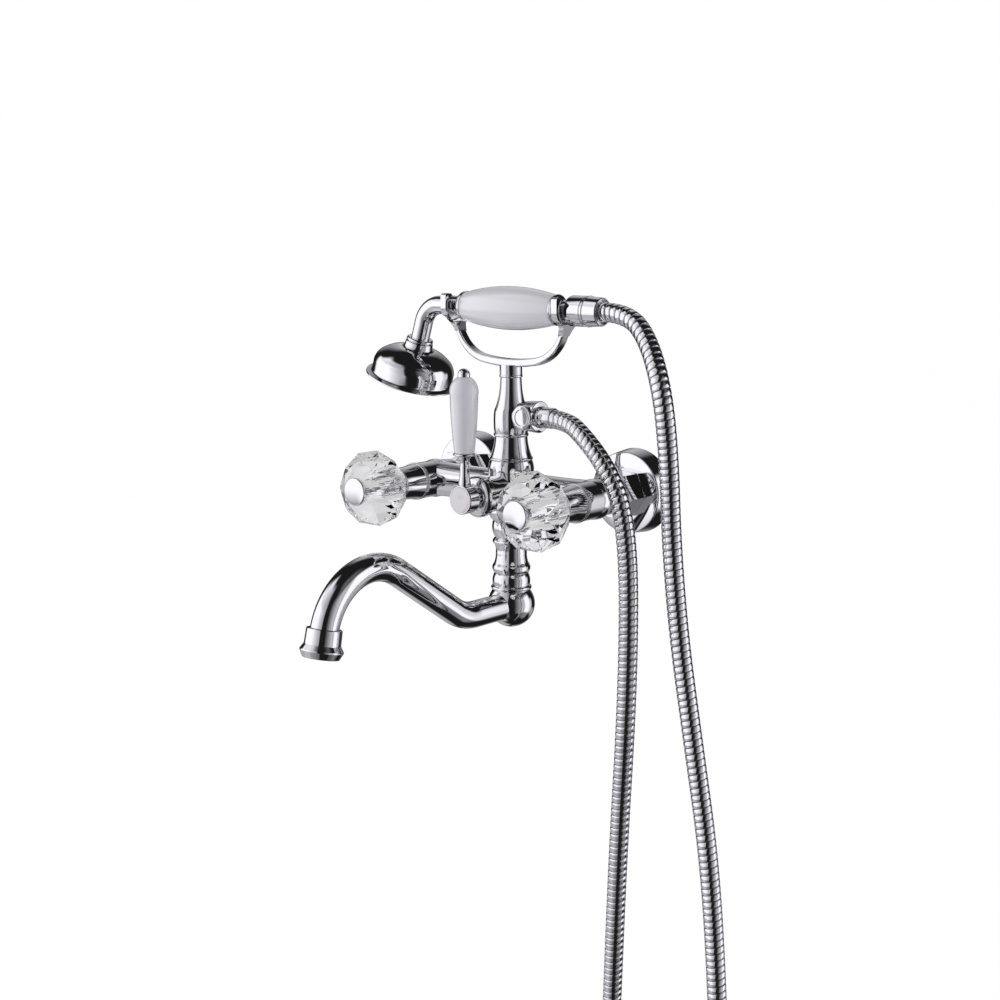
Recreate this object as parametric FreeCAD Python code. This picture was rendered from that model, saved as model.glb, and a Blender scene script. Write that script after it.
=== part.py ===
import FreeCAD, Part
import math
import os
from FreeCAD import Placement, Rotation, Vector

# Wall-mounted bath mixer with a cradled handset, in millimetres, +Z up.
# The wall is the plane Y = 0 and the mixer stands out towards -Y. The origin lies on the wall,
# midway between the two water inlets. "out" is a distance from the wall, "up" one above the arms.

# Water inlets and eccentric unions
inlet_spacing = 150.0
inlet_thread_radius = 10.48
inlet_thread_length = 16.0
inlet_bore_radius = 7.5
union_offset = 6.0
union_thread_radius = 13.22
union_bore_radius = 9.5
union_length = 22.0
union_web = 4.0
thread_relief = 1.0
washer_thickness = 2.0

# Escutcheons and union nuts
escutcheon_wall_radius = 30.5
escutcheon_front_radius = 29.2
escutcheon_depth = 15.0
escutcheon_shell = 1.6
escutcheon_edge = 1.2
nut_across_flats = 31.0
nut_length = 16.0
nut_lip = 4.0
nut_turn = -5.0
nut_chamfer = 1.6
tail_radius = 9.6
tail_flange_radius = 12.6
tail_flange_thickness = 2.4
tail_bore_radius = 7.0
tail_thread_length = 5.0

# Body casting
column_out = 51.5
body_radius = 16.4
body_top = 21.0
body_bottom = 23.0
arm_radius = 12.4
arm_end_radius = 13.2
elbow_radius = 14.3
rear_hub_radius = 12.8
rear_hub_length = 16.0
front_hub_radius = 13.4
front_hub_length = 20.0
gallery_radius = 6.5
chamber_radius = 9.4
body_bore_radius = 7.5

# Valve headworks inside the front hubs
headwork_flange_radius = 11.0
headwork_flange_thickness = 3.0
headwork_neck_radius = 6.8
headwork_neck_length = 18.0
headwork_wall = 1.2
disc_thickness = 2.2
disc_port_radius = 2.6
spindle_radius = 3.8

# Bonnets, the turned covers between body and knob
bonnet_length = 23.0
bonnet_rear_radius = 13.2
bonnet_front_radius = 12.0
bonnet_ring_radius = 13.9
bonnet_ring_width = 1.6
bonnet_shell = 1.5

# Crystal knobs
knob_gap = 1.0
knob_radius = 27.6
knob_depth = 35.5
knob_sides = 8
knob_front_radius = 21.5
knob_rear_radius = 18.5
knob_table_radius = 13.5
insert_radius = 8.9
insert_flutes = 12
insert_flute_radius = 1.5
insert_foot_radius = 11.8
insert_foot_thickness = 2.6
cap_radius = 10.2
cap_thickness = 3.2
cap_crown = 0.4
screw_radius = 2.4
screw_head_radius = 4.2

# Diverter in the middle of the front
diverter_down = 1.6
diverter_hub_radius = 12.6
diverter_hub_out = 87.5
diverter_chamber_radius = 8.6
dome_radius = 14.7
dome_length = 4.5
dome_skirt = 3.0
dome_front_radius = 9.9
dome_bore_radius = 5.2
gland_radius = 8.2
gland_length = 4.5
gland_grooves = 18
diverter_spindle_radius = 4.2
diverter_rotor_radius = 8.3
diverter_rotor_length = 14.0
lever_hub_radius = 10.3
lever_hub_length = 10.0
lever_forward = 0.0
hub_disc_radius = 8.9
hub_disc_thickness = 1.0

# Lever above the diverter
stem_base_radius = 4.5
stem_seat_depth = 1.2
stem_tenon_radius = 2.2
stem_tenon_length = 3.5
stem_waist_radius = 3.4
stem_top_radius = 4.8
stem_height = 22.4
lever_ferrule_radius = 7.4
lever_ferrule_thickness = 2.2
lever_rod_radius = 2.0
grip_foot_radius = 7.1
lever_grip_radius = 10.0
lever_grip_length = 53.2
finial_radius = 4.4
finial_height = 6.0
finial_dome = 4.0

# Riser column
riser_ring_radius = 15.8
riser_waist_radius = 11.8
riser_mid_ring_radius = 12.7
riser_belly_radius = 12.5
riser_top_radius = 7.6
riser_top_ring_radius = 8.4
riser_bore_radius = 5.5
riser_mid_ring_up = 39.3
riser_belly_up = 47.0
riser_top_up = 82.5

# Handset cradle
cradle_boss_radius = 8.1
cradle_boss_length = 5.4
cradle_stud_radius = 3.0
cradle_stud_depth = 7.0
yoke_thickness = 5.8
yoke_width = 8.0
yoke_rounding = 1.5
yoke_flat_half = 24.0
yoke_outer_bottom_radius = 140.0
yoke_outer_corner_radius = 33.8
yoke_inner_bottom_radius = 150.0
yoke_inner_corner_radius = 29.6
yoke_limb_angle = 66.0
fork_thickness = 4.8
fork_outer_radius = 15.3
fork_prong_up = 9.4
fork_shoulder_down = 6.2
fork_stem_down = 18.0
fork_clearance = 0.3

# Handset
handset_up = 129.6
journal_radius = 7.2
core_radius = 4.8
core_in_connector = 8.0
neck_radius = 6.8
neck_bend_radius = 18.0
neck_corner = 80.9
bell_tilt = 17.5
neck_drop = 26.5
neck_ring_radius = 10.0
neck_ring_thickness = 3.0
bell_neck_radius = 10.3
bell_neck_length = 3.6
bell_dome_radius = 30.7
bell_height = 31.6
bell_rim_radius = 34.7
bell_shell = 1.8
spray_thickness = 2.5
spray_holes = 12
spray_hole_radius = 0.9
ceramic_radius = 15.5
ceramic_end_radius = 10.4
ceramic_half_length = 41.5
fork_spread = ceramic_half_length + 9.9
ferrule_radius = 10.9
ferrule_length = 3.4
connector_radius = 10.6
connector_length = 14.0
connector_ring_radius = 11.2
connector_ring_width = 1.8
hose_nut_radius = 10.4
hose_nut_end_radius = 9.8
hose_nut_length = 11.0
hose_nut_groove = 2.5
hose_washer_thickness = 1.5

# Hose outlet on the riser
outlet_up = 53.7
outlet_boss_x = 19.8
outlet_boss_radius = 8.9
outlet_boss_length = 12.6
outlet_boss_edge = 1.6
outlet_dimple_radius = 5.6
outlet_barrel_start = 13.0
outlet_barrel_radius = 10.3
outlet_face_x = 27.4
outlet_face_radius = 11.3
outlet_tail_radius = 6.2
outlet_bore_radius = 4.5
outlet_nut_length = 12.6
outlet_nut_radius = 7.4

# Shower hose: its bore, its ribs and the corners of its hand-laid route as (x, forward of the column, up)
hose_radius = 6.7
hose_groove_radius = 6.0
hose_bore_radius = 4.4
hose_ribs = 190
hose_route = [
    (50.4, 0.0, 53.7),
    (71.0, 6.0, 44.0),
    (91.0, 8.0, 26.0),
    (105.0, 9.0, 4.0),
    (113.0, 11.0, -30.0),
    (116.0, 13.0, -80.0),
    (115.0, 14.0, -150.0),
    (109.0, 13.0, -240.0),
    (103.0, 10.0, -340.0),
    (98.0, 7.0, -430.0),
    (94.0, 5.0, -505.0),
    (95.0, 3.0, -565.0),
    (142.0, 1.0, -592.0),
    (189.0, 0.0, -565.0),
    (190.0, 0.0, -505.0),
    (189.0, 1.0, -430.0),
    (186.0, 1.0, -340.0),
    (178.0, 2.0, -240.0),
    (163.0, 3.0, -155.0),
    (151.0, 4.0, -85.0),
    (144.0, 5.0, -20.0),
    (144.0, 9.0, 34.0),
    (146.1, 17.8, 86.5),
    (129.2, 5.5, 117.4),
    (107.0, 0.0, 129.6),
]

# Spout post below the body
post_bulge_radius = 14.4
post_ring_radius = 13.6
post_waist_radius = 11.4
post_bead_radius = 13.8
post_spigot_radius = 9.2
post_bore_radius = 6.0
post_bottom = 61.8
spigot_length = 17.0
o_ring_radius = 1.0
o_ring_gap = 0.06
upper_seal_down = 3.6
lower_seal_down = 13.6
retaining_groove_down = 8.6
retaining_groove_half = 1.7
retaining_groove_depth = 1.6
spout_screw_radius = 1.5
running_clearance = 0.3

# Swivel spout
spout_barrel_radius = 13.9
spout_ring_radius = 14.9
ball_radius = 17.2
ball_down = 85.3
spout_radius = 9.6
spout_bore_radius = 7.6
spout_down = 86.0
spout_rise_angle = 33.5
spout_low_radius = 40.0
spout_arch_radius = 45.0
spout_arch_reach = 143.0
spout_arch_top = 35.5
spout_drop_angle = 78.0
spout_end_length = 3.0
aerator_radius = 11.9
aerator_flare_radius = 14.5
aerator_mouth_radius = 12.3
aerator_length = 19.5
aerator_seat = 6.0
aerator_screen_thickness = 3.0

# Everyday clearances
thread_clearance = 0.1
fit_clearance = 0.2
shaft_clearance = 0.08

inlet_x = inlet_spacing / 2
hub_face_out = column_out + front_hub_length
bonnet_face_out = hub_face_out + bonnet_length
knob_rear_out = bonnet_face_out + knob_gap
knob_front_out = knob_rear_out + insert_foot_thickness + knob_depth
stem_top = lever_hub_radius + stem_height


def spot(x, out, up):
    """A point from its side position, distance out from the wall and height above the arms."""
    return Vector(x, -out, union_offset + up)


UPWARD = Rotation()
FORWARD = Rotation(Vector(0, 0, 1), Vector(0, -1, 0))
BACKWARD = Rotation(Vector(0, 0, 1), Vector(0, 1, 0))
RIGHT = Rotation(Vector(0, 0, 1), Vector(1, 0, 0))


def placed(shape, rotation, point):
    """The shape, made along its own +Z, turned and moved to its place."""
    moved = shape.copy()
    moved.Placement = Placement(point, rotation)
    return moved


def bow(radius, start, end):
    """How far an arc of this radius rises above its chord."""
    half = math.hypot(end[0] - start[0], end[1] - start[1]) / 2
    return radius - math.sqrt(radius ** 2 - half ** 2)


def crown(radius, rise):
    """The bow of a low dome that meets its axis squarely."""
    ball = (radius ** 2 + rise ** 2) / (2 * rise)
    return bow(ball, (radius, 0), (0, rise))


def outline(*steps):
    """A closed profile in (radius, height); a third number bows the edge to the right by that much."""
    edges = []
    here = steps[0]
    for step in steps[1:]:
        start = Vector(here[0], 0, here[1])
        end = Vector(step[0], 0, step[1])
        if len(step) == 3:
            along = (end - start).normalize()
            right = Vector(along.z, 0, -along.x)
            middle = (start + end) * 0.5 + right * step[2]
            edges.append(Part.Arc(start, middle, end).toShape())
        else:
            edges.append(Part.LineSegment(start, end).toShape())
        here = step
    first = Vector(steps[0][0], 0, steps[0][1])
    last = Vector(here[0], 0, here[1])
    if (first - last).Length > 1e-6:
        edges.append(Part.LineSegment(last, first).toShape())
    return Part.Wire(edges)


def turned(*steps):
    """A solid of revolution about its own Z axis from a profile."""
    face = Part.Face(outline(*steps))
    solid = face.revolve(Vector(0, 0, 0), Vector(0, 0, 1), 360)
    return solid if solid.Volume > 0 else solid.reversed()


def rod(radius, start, end):
    """A plain cylinder along Z between two heights."""
    return Part.makeCylinder(radius, end - start, Vector(0, 0, start))


def ring(outer, inner, start, end):
    """A plain tube along Z between two heights."""
    return rod(outer, start, end).cut(rod(inner, start - 1, end + 1))


def save(name, shape):
    """Checks a sub-part and writes its STEP file."""
    solids = shape.Solids
    clean = solids[0] if len(solids) == 1 else Part.makeCompound(solids)
    if not clean.isValid():
        print("invalid shape:", name)
    clean.exportStep("parts/" + name + ".step")
    print("%-26s %2d solid(s) %10.1f mm3" % (name, len(solids), clean.Volume))


def escutcheon(side):
    """Round cover between the wall and the union nut, an open dish with a hole for the union."""
    hole = union_thread_radius + thread_clearance
    edge = escutcheon_edge
    dish = turned(
        (hole, escutcheon_depth),
        (escutcheon_front_radius - edge, escutcheon_depth),
        (escutcheon_front_radius, escutcheon_depth - edge, -edge * 0.3),
        (escutcheon_wall_radius, 0),
        (escutcheon_wall_radius - escutcheon_shell, 0),
        (escutcheon_front_radius - escutcheon_shell, escutcheon_depth - escutcheon_shell - edge),
        (escutcheon_front_radius - escutcheon_shell - edge, escutcheon_depth - escutcheon_shell),
        (hole, escutcheon_depth - escutcheon_shell),
    )
    return placed(dish, FORWARD, spot(side * inlet_x, 0, 0))


def eccentric_union(side):
    """Two threads whose axes lie apart, so that turning it takes up the pipes' tolerance."""
    wall_axis = Vector(side * inlet_x, 0, 0)
    nut_axis = spot(side * inlet_x, 0, 0)
    wall_thread = placed(rod(inlet_thread_radius, -inlet_thread_length, -thread_relief), FORWARD, wall_axis)
    relief = placed(rod(inlet_thread_radius - thread_relief, -thread_relief, 0), FORWARD, wall_axis)
    web = placed(rod(union_thread_radius, 0, union_web), FORWARD, wall_axis)
    nut_thread = placed(rod(union_thread_radius, 0, union_length), FORWARD, nut_axis)
    bore_in = placed(rod(inlet_bore_radius, -inlet_thread_length - 1, union_length / 2), FORWARD, wall_axis)
    bore_out = placed(rod(union_bore_radius, union_web * 1.5, union_length + 1), FORWARD, nut_axis)
    union = wall_thread.fuse([relief, web, nut_thread])
    return union.cut(bore_in.fuse(bore_out)).removeSplitter()


def tail_seat():
    """Where the tail's flange ends, measured out from the wall."""
    return union_length + washer_thickness + tail_flange_thickness


def union_nut(side):
    """Hexagon nut that draws the body's tail on to the union."""
    start = escutcheon_depth + fit_clearance
    end = start + nut_length
    corner_radius = nut_across_flats / 2 / math.cos(math.radians(30))
    corners = [
        Vector(corner_radius * math.cos(angle), corner_radius * math.sin(angle), start)
        for angle in (math.radians(nut_turn + 60 * k) for k in range(7))
    ]
    prism = Part.Face(Part.makePolygon(corners)).extrude(Vector(0, 0, nut_length))
    flat = nut_across_flats / 2
    reach = corner_radius - flat + 1
    rounding = turned(
        (0, start),
        (flat, start),
        (flat + reach, start + nut_chamfer),
        (flat + reach, end - nut_chamfer),
        (flat, end),
        (0, end),
    )
    lip_start = tail_seat() + thread_clearance
    thread = rod(union_thread_radius + thread_clearance, start - 1, lip_start)
    mouth = rod(tail_radius + fit_clearance, lip_start - 1, end + 1)
    nut = prism.common(rounding).cut(thread).cut(mouth)
    return placed(nut, FORWARD, spot(side * inlet_x, 0, 0))


def union_washers():
    """One fibre washer in each union."""
    outer = tail_flange_radius - fit_clearance
    washer = ring(outer, tail_bore_radius + 0.5, union_length, union_length + washer_thickness)
    return Part.makeCompound([placed(washer, FORWARD, spot(side * inlet_x, 0, 0)) for side in (-1, 1)])


def inlet_tails():
    """Flanged tails that hold the union nuts and screw into the body's rear hubs."""
    flange_start = union_length + washer_thickness
    hub_face = column_out - rear_hub_length
    tail = turned(
        (tail_bore_radius, flange_start),
        (tail_flange_radius, flange_start),
        (tail_flange_radius, tail_seat()),
        (tail_radius, tail_seat()),
        (tail_radius, hub_face + tail_thread_length),
        (tail_bore_radius, hub_face + tail_thread_length),
    )
    return Part.makeCompound([placed(tail, FORWARD, spot(side * inlet_x, 0, 0)) for side in (-1, 1)])


def mixer_body():
    """Body casting: the barrel, two arms, their elbows and hubs, with all its waterways."""
    barrel = turned(
        (0, -body_bottom),
        (body_radius - 3.0, -body_bottom),
        (body_radius, -body_bottom + 7.5, 1.0),
        (body_radius, 12.0),
        (body_radius - 1.2, body_top, 0.6),
        (0, body_top),
    )
    body = placed(barrel, UPWARD, spot(0, column_out, 0))
    hub = placed(rod(diverter_hub_radius, column_out, diverter_hub_out), FORWARD, spot(0, 0, -diverter_down))
    body = body.fuse(hub)
    for side in (-1, 1):
        turn = Rotation(Vector(0, 0, 1), Vector(side, 0, 0))
        arm = turned((0, 0), (arm_radius, 0), (arm_radius, 38), (arm_end_radius, inlet_x, -0.3), (0, inlet_x))
        rear = rod(rear_hub_radius, column_out - rear_hub_length, column_out)
        front = rod(front_hub_radius, column_out, hub_face_out)
        outward = Rotation(Vector(0, 0, 1), 0 if side > 0 else 180)
        body = body.fuse([
            placed(arm, turn, spot(0, column_out, 0)),
            placed(Part.makeSphere(elbow_radius), outward, spot(side * inlet_x, column_out, 0)),
            placed(rear, FORWARD, spot(side * inlet_x, 0, 0)),
            placed(front, FORWARD, spot(side * inlet_x, 0, 0)),
        ])
    gallery = placed(rod(gallery_radius, -inlet_x, inlet_x), RIGHT, spot(0, column_out, 0))
    column = placed(rod(body_bore_radius, -body_bottom - 1, body_top + 1), UPWARD, spot(0, column_out, 0))
    diverter = rod(diverter_chamber_radius + fit_clearance, column_out - 4, diverter_hub_out + 1)
    waterways = gallery.fuse([column, placed(diverter, FORWARD, spot(0, 0, -diverter_down))])
    for side in (-1, 1):
        inlet = rod(tail_bore_radius, column_out - rear_hub_length - 1, column_out)
        socket = rod(
            tail_radius + thread_clearance,
            column_out - rear_hub_length - 1,
            column_out - rear_hub_length + tail_thread_length,
        )
        chamber = rod(chamber_radius, headwork_start(), hub_face_out + 1)
        passage = rod(tail_bore_radius, column_out - 1, hub_face_out)
        for part in (inlet, socket, chamber, passage):
            waterways = waterways.fuse(placed(part, FORWARD, spot(side * inlet_x, 0, 0)))
    return body.cut(waterways).removeSplitter()


def headwork_start():
    """Where a headwork's inner end stands, measured out from the wall."""
    return column_out + front_hub_length * 0.3


def disc_seat():
    """Where the fixed ceramic disc lies on the headwork's shoulder, measured out from the wall."""
    return headwork_start() + headwork_wall


def headwork(side):
    """Brass cartridge that carries the spindle and the pair of ceramic discs."""
    barrel_radius = chamber_radius - fit_clearance
    cup_radius = barrel_radius - headwork_wall
    cup_end = disc_seat() + 2 * disc_thickness + 4.0
    flange_end = hub_face_out + headwork_flange_thickness
    shell = turned(
        (disc_port_radius * 2, headwork_start()),
        (barrel_radius, headwork_start()),
        (barrel_radius, hub_face_out),
        (headwork_flange_radius, hub_face_out),
        (headwork_flange_radius, flange_end),
        (headwork_neck_radius, flange_end),
        (headwork_neck_radius, flange_end + headwork_neck_length),
        (spindle_radius + shaft_clearance, flange_end + headwork_neck_length),
        (spindle_radius + shaft_clearance, cup_end),
        (cup_radius, cup_end),
        (cup_radius, disc_seat()),
        (disc_port_radius * 2, disc_seat()),
    )
    return placed(shell, FORWARD, spot(side * inlet_x, 0, 0))


def ceramic_disc(side, start, angle):
    """Ceramic disc with two round ports."""
    radius = chamber_radius - headwork_wall - 2 * fit_clearance
    disc = rod(radius, start, start + disc_thickness)
    for turn in (angle, angle + 180):
        where = math.radians(turn)
        port = Part.makeCylinder(
            disc_port_radius,
            disc_thickness + 2,
            Vector(radius * 0.5 * math.cos(where), radius * 0.5 * math.sin(where), start - 1),
        )
        disc = disc.cut(port)
    return placed(disc, FORWARD, spot(side * inlet_x, 0, 0))


def fixed_discs():
    """The still disc of each headwork."""
    return Part.makeCompound([ceramic_disc(side, disc_seat(), 90) for side in (-1, 1)])


def moving_disc(side):
    """The disc that turns with the spindle."""
    return ceramic_disc(side, disc_seat() + disc_thickness + 0.02, 0)


def spindle(side):
    """Spindle from the moving disc to the knob's insert, tapped for the knob screw."""
    start = disc_seat() + 2 * disc_thickness + 0.06
    collar = chamber_radius - headwork_wall - 2 * fit_clearance
    end = knob_rear_out + insert_foot_thickness + knob_depth * 0.45
    shaft = rod(collar, start, start + 3.0).fuse(rod(spindle_radius, start, end))
    tapped = rod(screw_radius - thread_clearance, end - 9.0, end + 1)
    return placed(shaft.cut(tapped), FORWARD, spot(side * inlet_x, 0, 0))


def bonnet(side):
    """Turned cover that screws over the headwork, with a double ring at the body."""
    start = hub_face_out
    ring_end = start + 2 * bonnet_ring_width
    front = start + bonnet_length
    lip = 1.6
    cover = turned(
        (bonnet_rear_radius - bonnet_shell, start),
        (bonnet_rear_radius, start),
        (bonnet_rear_radius, start + bonnet_ring_width, bonnet_ring_radius - bonnet_rear_radius),
        (bonnet_rear_radius, ring_end, bonnet_ring_radius - bonnet_rear_radius),
        (bonnet_front_radius, front - lip, -0.4),
        (bonnet_front_radius - 0.8, front - lip * 0.6),
        (bonnet_front_radius - 0.5, front),
        (headwork_neck_radius + fit_clearance, front),
        (headwork_neck_radius + fit_clearance, front - 2.5),
        (bonnet_front_radius - bonnet_shell - 0.6, front - 4.0),
    )
    return placed(cover, FORWARD, spot(side * inlet_x, 0, 0))


def crystal_knob(side):
    """Faceted glass knob: rings of corners, each ring turned half a step, joined by flat facets."""
    rear = knob_rear_out + insert_foot_thickness
    depth = knob_depth
    rings = [
        (rear, knob_rear_radius * 0.68, 0.0),
        (rear + depth * 0.15, knob_rear_radius * 1.14, 0.5),
        (rear + depth * 0.42, knob_radius, 0.0),
        (rear + depth * 0.66, knob_radius, 0.5),
        (rear + depth * 0.90, knob_front_radius, 0.0),
        (rear + depth, knob_table_radius, 0.5),
    ]
    step = 2 * math.pi / knob_sides

    def corner(number, place):
        out, radius, lead = rings[number]
        angle = (place + lead) * step
        return Vector(radius * math.cos(angle), radius * math.sin(angle), out)

    facets = []
    for end, turn in ((0, -1), (len(rings) - 1, 1)):
        loop = [corner(end, k * turn) for k in range(knob_sides + 1)]
        facets.append(Part.Face(Part.makePolygon(loop)))
    for lower in range(len(rings) - 1):
        lag = int(rings[lower][2] > rings[lower + 1][2])
        for k in range(knob_sides):
            low = corner(lower, k)
            low_next = corner(lower, k + 1)
            high = corner(lower + 1, k + lag)
            high_next = corner(lower + 1, k + 1 + lag)
            facets.append(Part.Face(Part.makePolygon([low, low_next, high, low])))
            facets.append(Part.Face(Part.makePolygon([low_next, high_next, high, low_next])))
    shell = Part.Shell(facets)
    glass = Part.Solid(shell)
    if glass.Volume < 0:
        glass.reverse()
    glass = glass.cut(rod(insert_radius + fit_clearance, rear - 1, knob_front_out + 1))
    return placed(glass, FORWARD, spot(side * inlet_x, 0, 0))


def knob_insert(side):
    """Fluted metal core seen through the glass, broached for the spindle."""
    rear = knob_rear_out
    foot_end = rear + insert_foot_thickness
    front = knob_front_out
    waist_end = foot_end + knob_depth * 0.22
    core = rod(insert_foot_radius, rear, foot_end)
    core = core.fuse(rod(insert_radius - insert_flute_radius, foot_end, waist_end))
    core = core.fuse(rod(insert_radius, waist_end, front))
    for k in range(insert_flutes):
        angle = 2 * math.pi * k / insert_flutes
        flute = Part.makeCylinder(
            insert_flute_radius,
            front - waist_end - 2.0,
            Vector(insert_radius * math.cos(angle), insert_radius * math.sin(angle), waist_end),
        )
        core = core.cut(flute)
    spindle_end = foot_end + knob_depth * 0.45
    core = core.cut(rod(spindle_radius + thread_clearance, rear - 1, spindle_end + fit_clearance))
    core = core.cut(rod(screw_radius + fit_clearance, rear, front + 1))
    core = core.cut(rod(screw_head_radius + fit_clearance, spindle_end + 4.0, front + 1))
    return placed(core, FORWARD, spot(side * inlet_x, 0, 0))


def knob_screw(side):
    """Screw under the cap that pulls the insert on to the spindle."""
    spindle_end = knob_rear_out + insert_foot_thickness + knob_depth * 0.45
    seat = spindle_end + 4.0
    shank = rod(screw_radius - 2 * thread_clearance, spindle_end - 7.0, seat)
    head = rod(screw_head_radius, seat, seat + 3.0)
    slot = Part.makeBox(1.0, 2 * screw_head_radius, 1.2, Vector(-0.5, -screw_head_radius, seat + 2.0))
    return placed(shank.fuse(head).cut(slot), FORWARD, spot(side * inlet_x, 0, 0))


def knob_cap(side):
    """Plain round cap pressed into the insert's mouth."""
    start = knob_front_out
    end = start + cap_thickness
    edge = 1.0
    plug = screw_head_radius + fit_clearance
    cap = turned(
        (0, start - 3.0),
        (plug, start - 3.0),
        (plug, start),
        (cap_radius, start),
        (cap_radius, end - edge),
        (cap_radius - edge, end, edge * 0.3),
        (0, end + cap_crown, crown(cap_radius - edge, cap_crown)),
    )
    return placed(cap, FORWARD, spot(side * inlet_x, 0, 0))


def diverter_bonnet():
    """Domed cover nut of the diverter."""
    start = diverter_hub_out
    bore = dome_bore_radius
    skirt = diverter_hub_radius + fit_clearance
    dome = turned(
        (skirt, start - dome_skirt),
        (dome_radius, start - dome_skirt),
        (dome_radius, start + 1.2),
        (dome_front_radius, start + dome_length, 0.8),
        (bore, start + dome_length),
        (bore, start),
        (skirt, start),
    )
    return placed(dome, FORWARD, spot(0, 0, -diverter_down))


def gland_start():
    """Where the gland nut begins, measured out from the wall."""
    return diverter_hub_out + dome_length


def diverter_gland():
    """Small gland nut with grip grooves round its edge and a flange at the dome."""
    start = gland_start()
    nut = rod(dome_front_radius, start, start + 1.2).fuse(rod(gland_radius, start, start + gland_length))
    for k in range(gland_grooves):
        angle = 2 * math.pi * k / gland_grooves
        groove = Part.makeCylinder(
            0.6,
            gland_length,
            Vector(gland_radius * math.cos(angle), gland_radius * math.sin(angle), start + 1.6),
        )
        nut = nut.cut(groove)
    nut = nut.cut(rod(diverter_spindle_radius + shaft_clearance, start - 1, start + gland_length + 1))
    return placed(nut, FORWARD, spot(0, 0, -diverter_down))


def hub_out():
    """Where the lever hub's rear face stands, measured out from the wall."""
    return gland_start() + gland_length + running_clearance


def diverter_spindle():
    """Spindle from the rotor through the gland into the lever hub."""
    start = diverter_hub_out - fit_clearance
    shaft = rod(diverter_spindle_radius, start - 2.0, hub_out() + lever_hub_length * 0.6)
    collar = rod(diverter_chamber_radius - fit_clearance, start - 2.0, start)
    return placed(shaft.fuse(collar), FORWARD, spot(0, 0, -diverter_down))


def diverter_rotor():
    """Plug inside the body that sends the water up to the hose or down to the spout."""
    end = diverter_hub_out - fit_clearance - 2.0
    start = end - diverter_rotor_length
    plug = rod(diverter_rotor_radius, start, end)
    window = Part.makeBox(
        diverter_rotor_radius * 2 + 2,
        diverter_rotor_radius,
        diverter_rotor_length * 0.6,
        Vector(-diverter_rotor_radius - 1, -diverter_rotor_radius - 1, start + diverter_rotor_length * 0.2),
    )
    cavity = rod(diverter_rotor_radius - 2.0, start - 1, end - 3.0)
    return placed(plug.cut(cavity).cut(window), FORWARD, spot(0, 0, -diverter_down))


def lever_axis_out():
    """The lever stands just in front of the middle of its hub."""
    return hub_out() + lever_hub_length / 2 + lever_forward


def lever_hub():
    """Round hub that the lever stem screws into."""
    start = hub_out()
    end = start + lever_hub_length
    hub = turned(
        (0, start),
        (lever_hub_radius - 0.8, start),
        (lever_hub_radius, start + 0.8),
        (lever_hub_radius, end - 0.6),
        (lever_hub_radius - 0.6, end),
        (hub_disc_radius + thread_clearance, end),
        (hub_disc_radius + thread_clearance, end - hub_disc_thickness),
        (0, end - hub_disc_thickness),
    )
    bore = rod(diverter_spindle_radius + thread_clearance, start - 1, start + lever_hub_length * 0.62)
    hub = placed(hub.cut(bore), FORWARD, spot(0, 0, -diverter_down))
    seat = lever_hub_radius - stem_seat_depth
    socket = rod(stem_base_radius + thread_clearance, seat, lever_hub_radius + 3)
    socket = socket.fuse(rod(stem_tenon_radius + thread_clearance, seat - stem_tenon_length - 0.2, seat))
    return hub.cut(placed(socket, UPWARD, spot(0, lever_axis_out(), -diverter_down)))


def hub_disc():
    """Satin disc let into the hub's front face, left bare."""
    end = hub_out() + lever_hub_length
    return placed(rod(hub_disc_radius, end - hub_disc_thickness, end), FORWARD, spot(0, 0, -diverter_down))


def lever_stem():
    """Turned stem with a ferrule for the grip and a rod through it."""
    foot = lever_hub_radius - stem_seat_depth
    top = stem_top
    stem = turned(
        (0, foot - stem_tenon_length),
        (stem_tenon_radius, foot - stem_tenon_length),
        (stem_tenon_radius, foot),
        (stem_base_radius, foot),
        (stem_base_radius, lever_hub_radius + 1.0),
        (stem_waist_radius, foot + 14.0, -0.4),
        (stem_top_radius, top - lever_ferrule_thickness, -0.8),
        (lever_ferrule_radius, top - lever_ferrule_thickness + 0.4),
        (lever_ferrule_radius, top, 0.5),
        (lever_rod_radius, top),
        (lever_rod_radius, top + lever_grip_length + 3.0),
        (0, top + lever_grip_length + 3.0),
    )
    return placed(stem, UPWARD, spot(0, lever_axis_out(), -diverter_down))


def lever_grip():
    """White ceramic grip, fullest near its upper end."""
    start = stem_top
    end = start + lever_grip_length
    fullest = start + lever_grip_length * 0.77
    neck = finial_radius + 0.2
    grip = turned(
        (lever_rod_radius + fit_clearance, start),
        (grip_foot_radius, start),
        (lever_grip_radius, fullest, 0.5),
        (neck, end, 2.1),
        (lever_rod_radius + fit_clearance, end),
    )
    return placed(grip, UPWARD, spot(0, lever_axis_out(), -diverter_down))


def lever_finial():
    """Little domed nut that closes the grip."""
    start = stem_top + lever_grip_length
    nut = turned(
        (0, start),
        (finial_radius, start),
        (finial_radius, start + finial_height - finial_dome),
        (0, start + finial_height, crown(finial_radius, finial_dome)),
    )
    nut = nut.cut(rod(lever_rod_radius + thread_clearance, start - 1, start + 3.2))
    return placed(nut, UPWARD, spot(0, lever_axis_out(), -diverter_down))


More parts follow.
